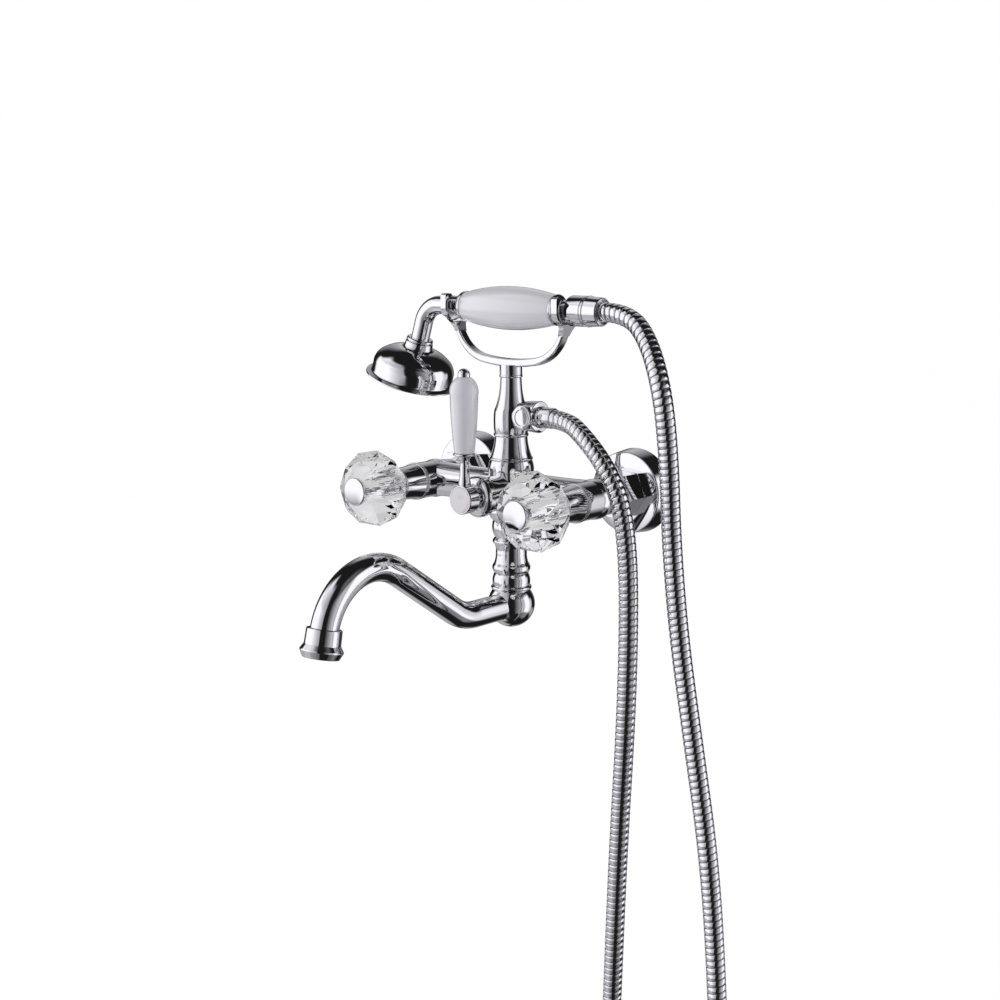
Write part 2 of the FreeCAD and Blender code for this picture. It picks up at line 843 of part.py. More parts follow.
def riser_column():
    """Turned column with its three rings, bored for the water and tapped for the hose outlet."""
    ring_half = 1.1
    mid = riser_mid_ring_up
    top = riser_top_up
    column = turned(
        (riser_bore_radius, body_top),
        (riser_ring_radius - 0.7, body_top),
        (riser_ring_radius - 0.7, body_top + 2 * ring_half, 0.7),
        (riser_waist_radius, mid - ring_half, -0.7),
        (riser_mid_ring_radius - 0.5, mid - ring_half),
        (riser_mid_ring_radius - 0.5, mid + ring_half, 0.5),
        (riser_waist_radius + 0.2, mid + ring_half),
        (riser_belly_radius, riser_belly_up, 0.15),
        (riser_belly_radius - 0.5, riser_belly_up + 10.0, 0.25),
        (riser_top_radius + 0.4, top - 9.0, -0.7),
        (riser_top_radius, top - 2.0),
        (riser_top_ring_radius - 0.4, top - 2.0),
        (riser_top_ring_radius - 0.4, top, 0.4),
        (cradle_stud_radius + thread_clearance, top),
        (cradle_stud_radius + thread_clearance, top - cradle_stud_depth - 2.0),
        (riser_bore_radius, top - cradle_stud_depth - 4.0),
    )
    column = placed(column, UPWARD, spot(0, column_out, 0))
    side_hole = rod(outlet_tail_radius + thread_clearance, 0, riser_belly_radius + 5)
    return column.cut(placed(side_hole, RIGHT, spot(0, column_out, outlet_up)))


def spigot():
    """Nipple that joins the riser's foot to the body, round the same water."""
    return ring(body_bore_radius - thread_clearance, riser_bore_radius - 1.0, body_top - 6.0, body_top)


def yoke_bottom():
    """Height of the yoke's underside."""
    return riser_top_up + cradle_boss_length


def side_profile():
    """The cradle seen from the front: a thick U whose limbs run up into the two fork plates."""
    limb_turn = math.radians(yoke_limb_angle)
    top = handset_up + fork_outer_radius + 1

    def edge(bottom_radius, corner_radius, floor, plate_x):
        """One side of the U: bottom middle, where its corner starts, halves and ends, and the plate's edge."""
        low_turn = math.asin(yoke_flat_half / bottom_radius)
        middle = floor + bottom_radius
        corner_x = (bottom_radius - corner_radius) * math.sin(low_turn)
        corner_up = middle - (bottom_radius - corner_radius) * math.cos(low_turn)
        corner = []
        for turn in (low_turn, (low_turn + limb_turn) / 2, limb_turn):
            x = corner_x + corner_radius * math.sin(turn)
            corner.append(Vector(x, 0, corner_up - corner_radius * math.cos(turn)))
        climb = (plate_x - corner[2].x) * math.tan(limb_turn)
        knee = Vector(plate_x, 0, corner[2].z + climb)
        return [Vector(0, 0, floor)] + corner + [knee, Vector(plate_x, 0, top)]

    outer_x = fork_spread + fork_thickness / 2
    outer = edge(yoke_outer_bottom_radius, yoke_outer_corner_radius, yoke_bottom(), outer_x)
    floor = yoke_bottom() + yoke_thickness
    inner = edge(yoke_inner_bottom_radius, yoke_inner_corner_radius, floor, outer_x - fork_thickness)

    def flip(points):
        return [Vector(-point.x, 0, point.z) for point in points]

    edges = []
    for points in (outer, inner):
        for start, low, mid, limb, knee, tip in (points, flip(points)):
            edges.append(Part.Arc(low, mid, limb).toShape())
            edges.append(Part.LineSegment(limb, knee).toShape())
            edges.append(Part.LineSegment(knee, tip).toShape())
        edges.append(Part.Arc(flip(points)[1], points[0], points[1]).toShape())
    edges.append(Part.LineSegment(outer[5], inner[5]).toShape())
    edges.append(Part.LineSegment(flip(outer)[5], flip(inner)[5]).toShape())
    return Part.Face(Part.Wire(Part.__sortEdges__(edges)))


def front_profile():
    """The cradle seen from the side: a narrow band that spreads into a fork of two prongs."""
    notch = journal_radius + fork_clearance
    outer = fork_outer_radius
    half = yoke_width / 2
    stem = -fork_stem_down
    shoulder = -fork_shoulder_down
    tip = fork_prong_up
    corner = 2.4
    shoulder_y = math.sqrt(outer ** 2 - shoulder ** 2) - 0.6
    throat_y = half + (shoulder_y - half) * 0.26
    throat_up = stem + (shoulder - stem) * 0.53
    cheek_y = math.sqrt(outer ** 2 - (shoulder / 2) ** 2) - 0.1

    def half_outline(sign):
        def at(sideways, up):
            return Vector(0, sign * sideways, up)

        return [
            Part.Arc(at(half, stem), at(throat_y, throat_up), at(shoulder_y, shoulder)).toShape(),
            Part.Arc(at(shoulder_y, shoulder), at(cheek_y, shoulder / 2), at(outer, 0)).toShape(),
            Part.LineSegment(at(outer, 0), at(outer, tip - corner)).toShape(),
            Part.Arc(
                at(outer, tip - corner),
                at(outer - corner * 0.293, tip - corner * 0.293),
                at(outer - corner, tip),
            ).toShape(),
            Part.LineSegment(at(outer - corner, tip), at(notch + corner, tip)).toShape(),
            Part.Arc(
                at(notch + corner, tip),
                at(notch + corner * 0.293, tip - corner * 0.293),
                at(notch, tip - corner),
            ).toShape(),
            Part.LineSegment(at(notch, tip - corner), at(notch, 0)).toShape(),
        ]

    edges = half_outline(1) + half_outline(-1)
    edges.append(Part.Arc(Vector(0, notch, 0), Vector(0, 0, -notch), Vector(0, -notch, 0)).toShape())
    edges.append(Part.LineSegment(Vector(0, -half, stem), Vector(0, half, stem)).toShape())
    return Part.Face(Part.Wire(Part.__sortEdges__(edges)))


def handset_cradle():
    """Yoke and forks in one casting, with a boss that stands on the riser."""
    reach = fork_spread + fork_thickness
    depth = fork_outer_radius + 1
    throat = handset_up - fork_stem_down
    sides = side_profile()
    sides.translate(Vector(0, -depth, 0))
    sides = sides.extrude(Vector(0, 2 * depth, 0))
    front = front_profile()
    front.translate(Vector(-reach, 0, handset_up))
    forks = sides.common(front.extrude(Vector(2 * reach, 0, 0)))
    strip = Part.makeBox(2 * reach, yoke_width, throat, Vector(-reach, -yoke_width / 2, 0))
    yoke = sides.common(strip)
    long_edges = []
    for edge in yoke.Edges:
        box = edge.BoundBox
        if box.YLength < 0.01 and box.ZMin < throat - 0.01:
            long_edges.append(edge)
    yoke = yoke.makeFillet(yoke_rounding, long_edges)
    boss = rod(cradle_boss_radius, riser_top_up, yoke_bottom() + yoke_thickness * 0.3)
    stud_hole = rod(cradle_stud_radius + thread_clearance, riser_top_up - 1, stud_top() + fit_clearance)
    cradle = yoke.fuse([forks, boss]).cut(stud_hole).removeSplitter()
    return placed(cradle, UPWARD, spot(0, column_out, 0))


def stud_top():
    """Upper end of the stud, just inside the yoke."""
    return yoke_bottom() + yoke_thickness * 0.3


def cradle_stud():
    """Headless stud between riser and cradle."""
    low = riser_top_up - cradle_stud_depth
    return placed(rod(cradle_stud_radius, low, stud_top()), UPWARD, spot(0, column_out, 0))


def hose_outlet():
    """Hose outlet on the riser's right side: a short barrel with a round boss on its front."""
    inside = riser_bore_radius + 1.0
    barrel = turned(
        (outlet_bore_radius, inside),
        (outlet_tail_radius, inside),
        (outlet_tail_radius, outlet_barrel_start),
        (outlet_barrel_radius - 0.8, outlet_barrel_start),
        (outlet_barrel_radius, outlet_barrel_start + 0.8, 0.25),
        (outlet_face_radius, outlet_face_x - 0.8, 0.2),
        (outlet_face_radius - 0.8, outlet_face_x, 0.25),
        (outlet_bore_radius, outlet_face_x),
    )
    edge = outlet_boss_edge
    length = outlet_boss_length
    foot = outlet_nut_radius + 0.6
    boss = turned(
        (0, foot),
        (outlet_boss_radius, foot),
        (outlet_boss_radius, length - edge),
        (outlet_boss_radius - edge, length, edge * 0.3),
        (outlet_dimple_radius + 0.3, length),
        (outlet_dimple_radius, length - 0.5),
        (0, length - 0.5),
    )
    bore = placed(rod(outlet_bore_radius, inside - 1, outlet_face_x + 1), RIGHT, spot(0, column_out, outlet_up))
    body = placed(barrel, RIGHT, spot(0, column_out, outlet_up))
    body = body.fuse(placed(boss, FORWARD, spot(outlet_boss_x, column_out, outlet_up)))
    return body.cut(bore).cut(riser_clearance()).removeSplitter()


def riser_clearance():
    """The riser's own outside, where the outlet's barrel is cut to sit against it."""
    keep = rod(riser_belly_radius + 0.05, riser_mid_ring_up, riser_top_up)
    reach = Part.makeBox(40, 60, 60, Vector(0, -30, outlet_up - 30))
    keep = keep.common(reach)
    keep = placed(keep, UPWARD, spot(0, column_out, 0))
    return keep.cut(placed(rod(outlet_tail_radius + 0.01, -1, 20), RIGHT, spot(0, column_out, outlet_up)))


def outlet_nut():
    """Smooth ferrule that holds the hose's end at the outlet."""
    start = outlet_face_x
    end = start + outlet_nut_length
    nut = turned(
        (hose_radius + thread_clearance, start),
        (outlet_nut_radius + 0.4, start),
        (outlet_nut_radius + 0.4, start + 1.4),
        (outlet_nut_radius, start + 2.2),
        (outlet_nut_radius, end - 1.0),
        (outlet_nut_radius - 0.4, end),
        (hose_radius + thread_clearance, end),
    )
    return placed(nut, RIGHT, spot(0, column_out, outlet_up))


def spout_post():
    """Turned post under the body, with the spigot that the spout swivels on."""
    low = post_bottom
    spigot_end = low + spigot_length
    grooves = [
        (low + upper_seal_down, o_ring_radius + 0.1, seal_seat_radius() - o_ring_radius),
        (low + retaining_groove_down, retaining_groove_half, post_spigot_radius - retaining_groove_depth),
        (low + lower_seal_down, o_ring_radius + 0.1, seal_seat_radius() - o_ring_radius),
    ]
    post = turned(
        (post_bore_radius, -body_bottom),
        (post_bulge_radius - 1.4, -body_bottom),
        (post_bulge_radius - 2.6, -35.4, -1.5),
        (post_ring_radius - 1.2, -36.4),
        (post_ring_radius - 1.2, -40.6, -1.2),
        (post_waist_radius, -47.0, 0.6),
        (post_bead_radius - 1.1, -55.0, 0.5),
        (post_bead_radius - 1.4, -low, -1.4),
        (post_spigot_radius, -low),
        (post_spigot_radius, -spigot_end + 0.8),
        (post_spigot_radius - 0.8, -spigot_end),
        (post_bore_radius, -spigot_end),
    )
    for middle, half, floor_radius in grooves:
        post = post.cut(ring(post_spigot_radius + 1, floor_radius, -middle - half, -middle + half))
    return placed(post, UPWARD, spot(0, column_out, 0))


def spout_socket_radius():
    """Bore of the swivel hub round the spigot and its seals."""
    return post_spigot_radius + shaft_clearance


def seal_seat_radius():
    """Middle circle of the seals, which all but touch the socket."""
    return spout_socket_radius() - o_ring_gap - o_ring_radius


def spout_o_rings():
    """Two seals on the spigot."""
    seals = []
    for down in (upper_seal_down, lower_seal_down):
        seals.append(Part.makeTorus(seal_seat_radius(), o_ring_radius, spot(0, column_out, -post_bottom - down)))
    return Part.makeCompound(seals)


def spout_screw():
    """Headless screw in the back of the swivel hub, its point in the spigot's middle groove."""
    tip = post_spigot_radius - retaining_groove_depth + running_clearance
    end = spout_barrel_radius - 1.8
    screw = rod(spout_screw_radius, tip, end)
    slot = Part.makeBox(0.6, 2 * spout_screw_radius, 1.0, Vector(-0.3, -spout_screw_radius, end - 0.8))
    return placed(screw.cut(slot), BACKWARD, spot(0, column_out, -post_bottom - retaining_groove_down))


def spout_hub():
    """Swivel hub: a barrel, a ring and a ball with the socket for the post and for the tube."""
    top = -(post_bottom + running_clearance)
    ring_top = -71.3
    ring_low = -74.2
    ball = ball_radius
    meet = math.sqrt(ball ** 2 - 12.8 ** 2)
    hub = turned(
        (0, top),
        (spout_barrel_radius - 1.6, top),
        (spout_barrel_radius - 0.5, ring_top, -0.9),
        (spout_ring_radius - 0.9, ring_top),
        (spout_ring_radius - 0.9, ring_low, -0.9),
        (12.8, -ball_down + meet),
        (ball, -ball_down, bow(ball, (12.8, meet), (ball, 0)) * -1),
        (0, -ball_down - ball, -bow(ball, (ball, 0), (0, ball))),
    )
    hub = placed(hub, UPWARD, spot(0, column_out, 0))
    socket = rod(spout_socket_radius(), -post_bottom - spigot_length - 1.0, -post_bottom + 1)
    hub = hub.cut(placed(socket, UPWARD, spot(0, column_out, 0)))
    seat = placed(rod(spout_radius + thread_clearance, tube_start(), 40), FORWARD, spot(0, column_out, -spout_down))
    waterway = placed(rod(spout_bore_radius, 0, 40), FORWARD, spot(0, column_out, -spout_down))
    screw_hole = rod(spout_screw_radius + thread_clearance, spout_socket_radius() - 1, spout_barrel_radius + 3)
    screw_hole = placed(screw_hole, BACKWARD, spot(0, column_out, -post_bottom - retaining_groove_down))
    return hub.cut(seat).cut(waterway).cut(screw_hole).removeSplitter()


def tube_start():
    """How far in front of the post axis the spout tube begins."""
    return spout_socket_radius() + 1.5


def spout_points():
    """Corner points of the swan neck as (reach, down), with the angle of each piece."""
    rise = math.radians(spout_rise_angle)
    drop = math.radians(spout_drop_angle)
    arch_down = spout_arch_top + spout_arch_radius
    arch_in = (
        spout_arch_reach - spout_arch_radius * math.sin(rise),
        arch_down - spout_arch_radius * math.cos(rise),
    )
    arch_out = (
        spout_arch_reach + spout_arch_radius * math.sin(drop),
        arch_down - spout_arch_radius * math.cos(drop),
    )
    corner = arch_in[0] - (spout_down - arch_in[1]) / math.tan(rise)
    tangent = spout_low_radius * math.tan(rise / 2)
    low_in = (corner - tangent, spout_down)
    low_out = (corner + tangent * math.cos(rise), spout_down - tangent * math.sin(rise))
    end = (
        arch_out[0] + spout_end_length * math.cos(drop),
        arch_out[1] + spout_end_length * math.sin(drop),
    )
    return low_in, low_out, arch_in, arch_out, end


def spout_tube():
    """Swan-neck tube along straight pieces and two arcs."""
    low_in, low_out, arch_in, arch_out, end = spout_points()
    rise = math.radians(spout_rise_angle)

    def at(reach, down):
        return spot(0, column_out + reach, -down)

    low_middle = at(
        low_in[0] + spout_low_radius * math.sin(rise / 2),
        spout_down - spout_low_radius * (1 - math.cos(rise / 2)),
    )
    arch_middle = at(spout_arch_reach, spout_arch_top)
    path = Part.Wire([
        Part.LineSegment(at(tube_start(), spout_down), at(*low_in)).toShape(),
        Part.Arc(at(*low_in), low_middle, at(*low_out)).toShape(),
        Part.LineSegment(at(*low_out), at(*arch_in)).toShape(),
        Part.Arc(at(*arch_in), arch_middle, at(*arch_out)).toShape(),
        Part.LineSegment(at(*arch_out), at(*end)).toShape(),
    ])
    start = at(tube_start(), spout_down)
    tube = None
    for radius in (spout_radius, spout_bore_radius):
        section = Part.Wire(Part.Circle(start, Vector(0, -1, 0), radius).toShape())
        swept = path.makePipeShell([section], True, False)
        tube = swept if tube is None else tube.cut(swept)
    return tube


def spout_end():
    """Placement of the spout's end, its own +Z pointing where the water goes."""
    end = spout_points()[-1]
    drop = math.radians(spout_drop_angle)
    way = Vector(0, -math.cos(drop), -math.sin(drop))
    return Placement(spot(0, column_out + end[0], -end[1]), Rotation(Vector(0, 0, 1), way))


def aerator_housing():
    """Collar with a flared lip, screwed over the end of the spout tube."""
    seat = aerator_seat
    total = aerator_length - seat
    housing = turned(
        (spout_radius + thread_clearance, -seat),
        (aerator_radius - 0.6, -seat),
        (aerator_radius, -seat + 0.6),
        (aerator_radius + 0.3, total - 9.0),
        (aerator_flare_radius, total - 5.6, 0.4),
        (aerator_flare_radius, total - 4.6),
        (aerator_mouth_radius, total, 0.5),
        (aerator_mouth_radius - 1.4, total),
        (aerator_mouth_radius - 1.4, total - 4.0),
        (spout_bore_radius, total - 4.0),
        (spout_bore_radius, 0),
        (spout_radius + thread_clearance, 0),
    )
    housing.Placement = spout_end()
    return housing


def aerator_screen():
    """Perforated insert in the aerator's mouth."""
    total = aerator_length - aerator_seat
    radius = aerator_mouth_radius - 1.4 - fit_clearance
    screen = rod(radius, total - 4.0 + 0.05, total - 4.0 + aerator_screen_thickness)
    for count, circle in ((1, 0.0), (6, radius * 0.4), (12, radius * 0.75)):
        for k in range(count):
            angle = 2 * math.pi * k / count
            hole = Part.makeCylinder(
                0.9,
                aerator_screen_thickness + 2,
                Vector(circle * math.cos(angle), circle * math.sin(angle), total - 5.0),
            )
            screen = screen.cut(hole)
    screen.Placement = spout_end()
    return screen


def bell_axis():
    """Placement of the bell: its own +Z runs down along the bell's axis from the neck ring."""
    tilt = math.radians(bell_tilt)
    way = Vector(-math.sin(tilt), 0, -math.cos(tilt))
    along = neck_drop / math.cos(tilt)
    corner = spot(-neck_corner, column_out, handset_up)
    return Placement(corner + way * along, Rotation(Vector(0, 0, 1), way)), corner, way, along


def handset_neck():
    """Bent neck with its end ring, the journal in the left fork and the core tube of the grip."""
    place, corner, way, along = bell_axis()
    turn = math.radians(90 - bell_tilt)
    tangent = neck_bend_radius * math.tan(turn / 2)
    shoulder = -(ceramic_half_length + ferrule_length)
    start = spot(shoulder, column_out, handset_up)
    bend_in = corner + Vector(tangent, 0, 0)
    bend_out = corner + way * tangent
    centre = bend_in + Vector(0, 0, -neck_bend_radius)
    half = math.pi / 2 + turn / 2
    middle = centre + Vector(neck_bend_radius * math.cos(half), 0, neck_bend_radius * math.sin(half))
    end = corner + way * (along - neck_ring_thickness / 2)
    path = Part.Wire([
        Part.LineSegment(start, bend_in).toShape(),
        Part.Arc(bend_in, middle, bend_out).toShape(),
        Part.LineSegment(bend_out, end).toShape(),
    ])
    section = Part.Wire(Part.Circle(start, Vector(-1, 0, 0), neck_radius).toShape())
    neck = path.makePipeShell([section], True, False)
    collar = turned(
        (0, -neck_ring_thickness / 2),
        (neck_ring_radius - 1.0, -neck_ring_thickness / 2),
        (neck_ring_radius - 1.0, neck_ring_thickness / 2, 1.0),
        (neck_radius, neck_ring_thickness / 2),
        (neck_radius, neck_ring_thickness / 2 + 6.0),
        (0, neck_ring_thickness / 2 + 6.0),
    )
    collar.Placement = place
    journal = placed(rod(journal_radius, -fork_spread - fork_thickness, shoulder), RIGHT,
                     spot(0, column_out, handset_up))
    core = placed(rod(core_radius, shoulder - 1, connector_start() + core_in_connector), RIGHT,
                  spot(0, column_out, handset_up))
    bore = placed(rod(core_radius - 1.3, shoulder - 1, connector_start() + core_in_connector + 1), RIGHT,
                  spot(0, column_out, handset_up))
    return neck.fuse([collar, journal, core]).cut(bore).removeSplitter()


def connector_start():
    """Where the connector's body begins to the right of the right fork."""
    return fork_spread + fork_thickness / 2 + 1.6


def front_ferrule():
    """Turned ring between the neck and the ceramic grip."""
    end = -ceramic_half_length
    start = end - ferrule_length
    ferrule = turned(
        (core_radius + thread_clearance, start),
        (journal_radius + 0.8, start),
        (ferrule_radius - 0.5, start + 1.2, -0.2),
        (ferrule_radius - 0.5, end - 0.4, 0.6),
        (ceramic_end_radius, end),
        (core_radius + thread_clearance, end),
    )
    return placed(ferrule, RIGHT, spot(0, column_out, handset_up))


def handset_grip():
    """White ceramic barrel, fullest in the middle."""
    half = ceramic_half_length
    grip = turned(
        (core_radius + fit_clearance, -half),
        (ceramic_end_radius, -half),
        (ceramic_end_radius, half, ceramic_radius - ceramic_end_radius),
        (core_radius + fit_clearance, half),
    )
    return placed(grip, RIGHT, spot(0, column_out, handset_up))


def handset_connector():
    """Rear ferrule, journal in the right fork and the threaded end for the hose, in one piece."""
    start = ceramic_half_length
    body = connector_start()
    ring_start = body + connector_length
    end = ring_start + connector_ring_width
    bore = core_radius + thread_clearance
    connector = turned(
        (bore, start),
        (ceramic_end_radius, start),
        (ferrule_radius - 0.5, start + 0.4),
        (ferrule_radius - 0.5, start + ferrule_length - 1.2, 0.6),
        (journal_radius, start + ferrule_length),
        (journal_radius, body),
        (connector_radius - 1.0, body),
        (connector_radius, body + 1.0, 0.3),
        (connector_radius, ring_start),
        (connector_ring_radius - 0.4, ring_start),
        (connector_ring_radius - 0.4, end, 0.4),
        (thread_radius(), end),
        (thread_radius(), end + hose_nut_length * 0.55),
        (core_radius - 1.3, end + hose_nut_length * 0.55),
        (core_radius - 1.3, body + core_in_connector + fit_clearance),
        (bore, body + core_in_connector + fit_clearance),
    )
    return placed(connector, RIGHT, spot(0, column_out, handset_up))


def thread_radius():
    """Thread under the hose nut."""
    return hose_nut_radius - 1.8


def hose_end_x():
    """Where the hose meets the handset's nut."""
    start = connector_start() + connector_length + connector_ring_width
    return start + hose_nut_length


def handset_hose_nut():
    """Tapered hose nut with a grooved end face round the hose."""
    start = connector_start() + connector_length + connector_ring_width + 0.05
    end = hose_end_x()
    inside = start + hose_nut_length * 0.55 + hose_washer_thickness
    nut = turned(
        (thread_radius() + thread_clearance, start),
        (hose_nut_radius, start),
        (hose_nut_end_radius, end - 0.6),
        (hose_nut_end_radius - 0.6, end),
        (hose_radius + 1.7, end),
        (hose_radius + 1.3, end - hose_nut_groove),
        (hose_radius + 0.1, end - hose_nut_groove),
        (hose_radius + 0.1, end),
        (hose_bore_radius, end),
        (hose_bore_radius, inside + 0.1),
        (thread_radius() + thread_clearance, inside + 0.1),
    )
    return placed(nut, RIGHT, spot(0, column_out, handset_up))


def handset_washer():
    """Rubber washer between the connector and its hose nut."""
    start = connector_start() + connector_length + connector_ring_width + hose_nut_length * 0.55
    washer = ring(thread_radius() - fit_clearance, core_radius - 1.0, start + 0.02, start + hose_washer_thickness)
    return placed(washer, RIGHT, spot(0, column_out, handset_up))


def shower_bell():
    """Bell of the handset, a thin spun dome with a rolled rim, open below."""
    start = neck_ring_thickness / 2 + 0.02
    neck_end = start + bell_neck_length
    height = bell_height
    wall = bell_shell
    rim = bell_rim_radius
    dome = bell_dome_radius
    bell = turned(
        (neck_radius + fit_clearance, start),
        (bell_neck_radius, start),
        (bell_neck_radius + 0.3, neck_end),
        (bell_neck_radius + 3.2, neck_end + 1.9, -0.6),
        (dome - 2.7, neck_end + 9.9, 1.1),
        (dome, neck_end + 16.0, 0.4),
        (dome, height - 4.6),
        (rim - 0.6, height - 1.2, -0.8),
        (rim, height - 0.6, 0.15),
        (rim, height),
        (rim - 3.4, height),
        (dome - wall, height - 1.8),
        (dome - wall, neck_end + 16.0),
        (dome - 2.7 - wall, neck_end + 10.6, -0.35),
        (bell_neck_radius + 3.0, neck_end + 4.0, -0.9),
        (neck_radius + fit_clearance, neck_end + 0.6),
    )
    bell.Placement = bell_axis()[0]
    return bell


def spray_plate():
    """Perforated plate that closes the bell."""
    top = bell_height - 2.0
    radius = bell_dome_radius - bell_shell - fit_clearance
    plate = rod(radius, top - spray_thickness, top)
    for count, circle in ((1, 0.0), (6, 0.28), (spray_holes, 0.55), (spray_holes * 3 // 2, 0.82)):
        for k in range(count):
            angle = 2 * math.pi * k / count
            hole = Part.makeCylinder(
                spray_hole_radius,
                spray_thickness + 2,
                Vector(circle * radius * math.cos(angle), circle * radius * math.sin(angle),
                       top - spray_thickness - 1),
            )
            plate = plate.cut(hole)
    plate.Placement = bell_axis()[0]
    return plate


def hose_pieces():
    """The hose's route as straight runs and tangent arcs: (start, end, centre, axis, angle)."""
    route = [(outlet_face_x, 0, outlet_up)] + hose_route
    route.append((hose_end_x() + running_clearance, 0, handset_up))
    points = [spot(x, column_out + forward, up) for x, forward, up in route]
    pieces = []
    radii = []
    here = points[0]
    for before, corner, after in zip(points, points[1:], points[2:]):
        way_in = (corner - before).normalize()
        way_out = (after - corner).normalize()
        turn = way_in.getAngle(way_out)
        shorter = min((corner - before).Length, (after - corner).Length)
        reach = 0.45 * shorter
        radius = reach / math.tan(turn / 2)
        radii.append(radius)
        axis = way_in.cross(way_out).normalize()
        arc_in = corner - way_in * reach
        arc_out = corner + way_out * reach
        centre = arc_in + axis.cross(way_in) * radius
        pieces.append((here, arc_in, None, None, 0.0))
        pieces.append((arc_in, arc_out, centre, axis, turn))
        here = arc_out
    pieces.append((here, points[-1], None, None, 0.0))
    print("hose radii:", " ".join("%.0f" % radius for radius in radii))
    return pieces


def hose_length(pieces):
    """Length of the route along its runs and arcs."""
    total = 0.0
    for start, end, centre, axis, turn in pieces:
        total += (end - start).Length if centre is None else (start - centre).Length * turn
    return total


def along_hose(pieces, distance):
    """The point and direction at a distance along the route."""
    for start, end, centre, axis, turn in pieces:
        length = (end - start).Length if centre is None else (start - centre).Length * turn
        if distance <= length or end is pieces[-1][1]:
            if centre is None:
                way = (end - start).normalize()
                return start + way * min(distance, length), way
            arm = start - centre
            spin = Rotation(axis, math.degrees(distance / arm.Length))
            arm = spin.multVec(arm)
            return centre + arm, axis.cross(arm).normalize()
        distance -= length
    return pieces[-1][1], (pieces[-1][1] - pieces[-1][0]).normalize()


def hose_circle(pieces, distance, radius):
    """A circle square to the route, its own X axis held towards the front."""
    point, way = along_hose(pieces, distance)
    front = Vector(0, -1, 0)
    x_axis = (front - way * front.dot(way)).normalize()
    circle = Part.Wire(Part.Circle(Vector(0, 0, 0), Vector(0, 0, 1), radius).toShape())
    circle.Placement = Placement(point, Rotation(x_axis, way.cross(x_axis), way, "ZXY"))
    return circle


def shower_hose():
    """Metal hose: an outer skin of ribs and its bore, closed by flat ring ends."""
    pieces = hose_pieces()
    length = hose_length(pieces)
    end = 2 * hose_radius
    pitch = (length - 2 * end) / hose_ribs
    stations = [(0.0, hose_radius), (end - pitch * 0.1, hose_radius)]
    for k in range(hose_ribs):
        start = end + k * pitch
        stations += [
            (start, hose_groove_radius),
            (start + pitch * 0.15, hose_radius),
            (start + pitch * 0.75, hose_radius),
            (start + pitch * 0.9, hose_groove_radius),
        ]
    stations += [(length - end, hose_radius), (length, hose_radius)]
    outer = Part.makeLoft([hose_circle(pieces, s, r) for s, r in stations], False, True)
    steps = 2 * hose_ribs // 3
    bore_stations = [length * k / steps for k in range(steps + 1)]
    inner = Part.makeLoft([hose_circle(pieces, s, hose_bore_radius) for s in bore_stations], False, True)
    ends = []
    for s in (0.0, length):
        circles = [hose_circle(pieces, s, hose_radius), hose_circle(pieces, s, hose_bore_radius)]
        ends.append(Part.makeFace(circles, "Part::FaceMakerBullseye"))
    shell = Part.Shell(outer.Faces + inner.Faces + ends)
    shell.sewShape()
    hose = Part.Solid(shell)
    if hose.Volume < 0:
        hose.reverse()
    mean = math.pi * (hose_radius ** 2 - hose_bore_radius ** 2) * length
    print("hose length %.0f mm, rib pitch %.2f mm, volume %.0f of %.0f" % (length, pitch, hose.Volume, mean))
    return hose


os.makedirs("parts", exist_ok=True)

save("mixer_body", mixer_body())
for name, side in (("hot", -1), ("cold", 1)):
    save("escutcheon_" + name, escutcheon(side))
    save("eccentric_union_" + name, eccentric_union(side))
    save("union_nut_" + name, union_nut(side))
    save("headwork_" + name, headwork(side))
    save("bonnet_" + name, bonnet(side))
    save("moving_disc_" + name, moving_disc(side))
    save("spindle_" + name, spindle(side))
    save("knob_insert_" + name, knob_insert(side))
    save("crystal_knob_" + name, crystal_knob(side))
    save("knob_screw_" + name, knob_screw(side))
    save("knob_cap_" + name, knob_cap(side))
save("union_washers", union_washers())
save("inlet_tails", inlet_tails())
save("fixed_discs", fixed_discs())
save("diverter_bonnet", diverter_bonnet())
save("diverter_gland", diverter_gland())
save("diverter_spindle", diverter_spindle())
save("diverter_rotor", diverter_rotor())
save("lever_hub", lever_hub())
save("hub_disc", hub_disc())
save("lever_stem", lever_stem())
save("lever_grip", lever_grip())
save("lever_finial", lever_finial())
save("riser_column", riser_column())
save("riser_nipple", placed(spigot(), UPWARD, spot(0, column_out, 0)))
save("handset_cradle", handset_cradle())
save("cradle_stud", cradle_stud())
save("hose_outlet", hose_outlet())
save("outlet_nut", outlet_nut())
save("spout_post", spout_post())
save("spout_o_rings", spout_o_rings())
save("spout_hub", spout_hub())
save("spout_tube", spout_tube())
save("spout_screw", spout_screw())
save("aerator_housing", aerator_housing())
save("aerator_screen", aerator_screen())
save("handset_neck", handset_neck())
save("shower_bell", shower_bell())
save("spray_plate", spray_plate())
save("front_ferrule", front_ferrule())
save("handset_grip", handset_grip())
save("handset_connector", handset_connector())
save("handset_hose_nut", handset_hose_nut())
save("handset_washer", handset_washer())
save("shower_hose", shower_hose())
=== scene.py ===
# %% [markdown]
# # A wall bath mixer with a telephone hand shower
# The real object is a polished brass casting plated with chrome, with two cut glass knobs, a small lever for the
# diverter, a swan neck spout and a hand shower that lies in a cradle on top. Its hose is wound metal strip.
# The solid model of every piece is loaded first and stays fixed. Each cell after that models one visible piece
# again with a finer surface, because a mirror finish shows every facet of a coarse one.

# %% Load the solid model
import math

import bpy
import numpy as np
from mathutils import Matrix, Quaternion, Vector


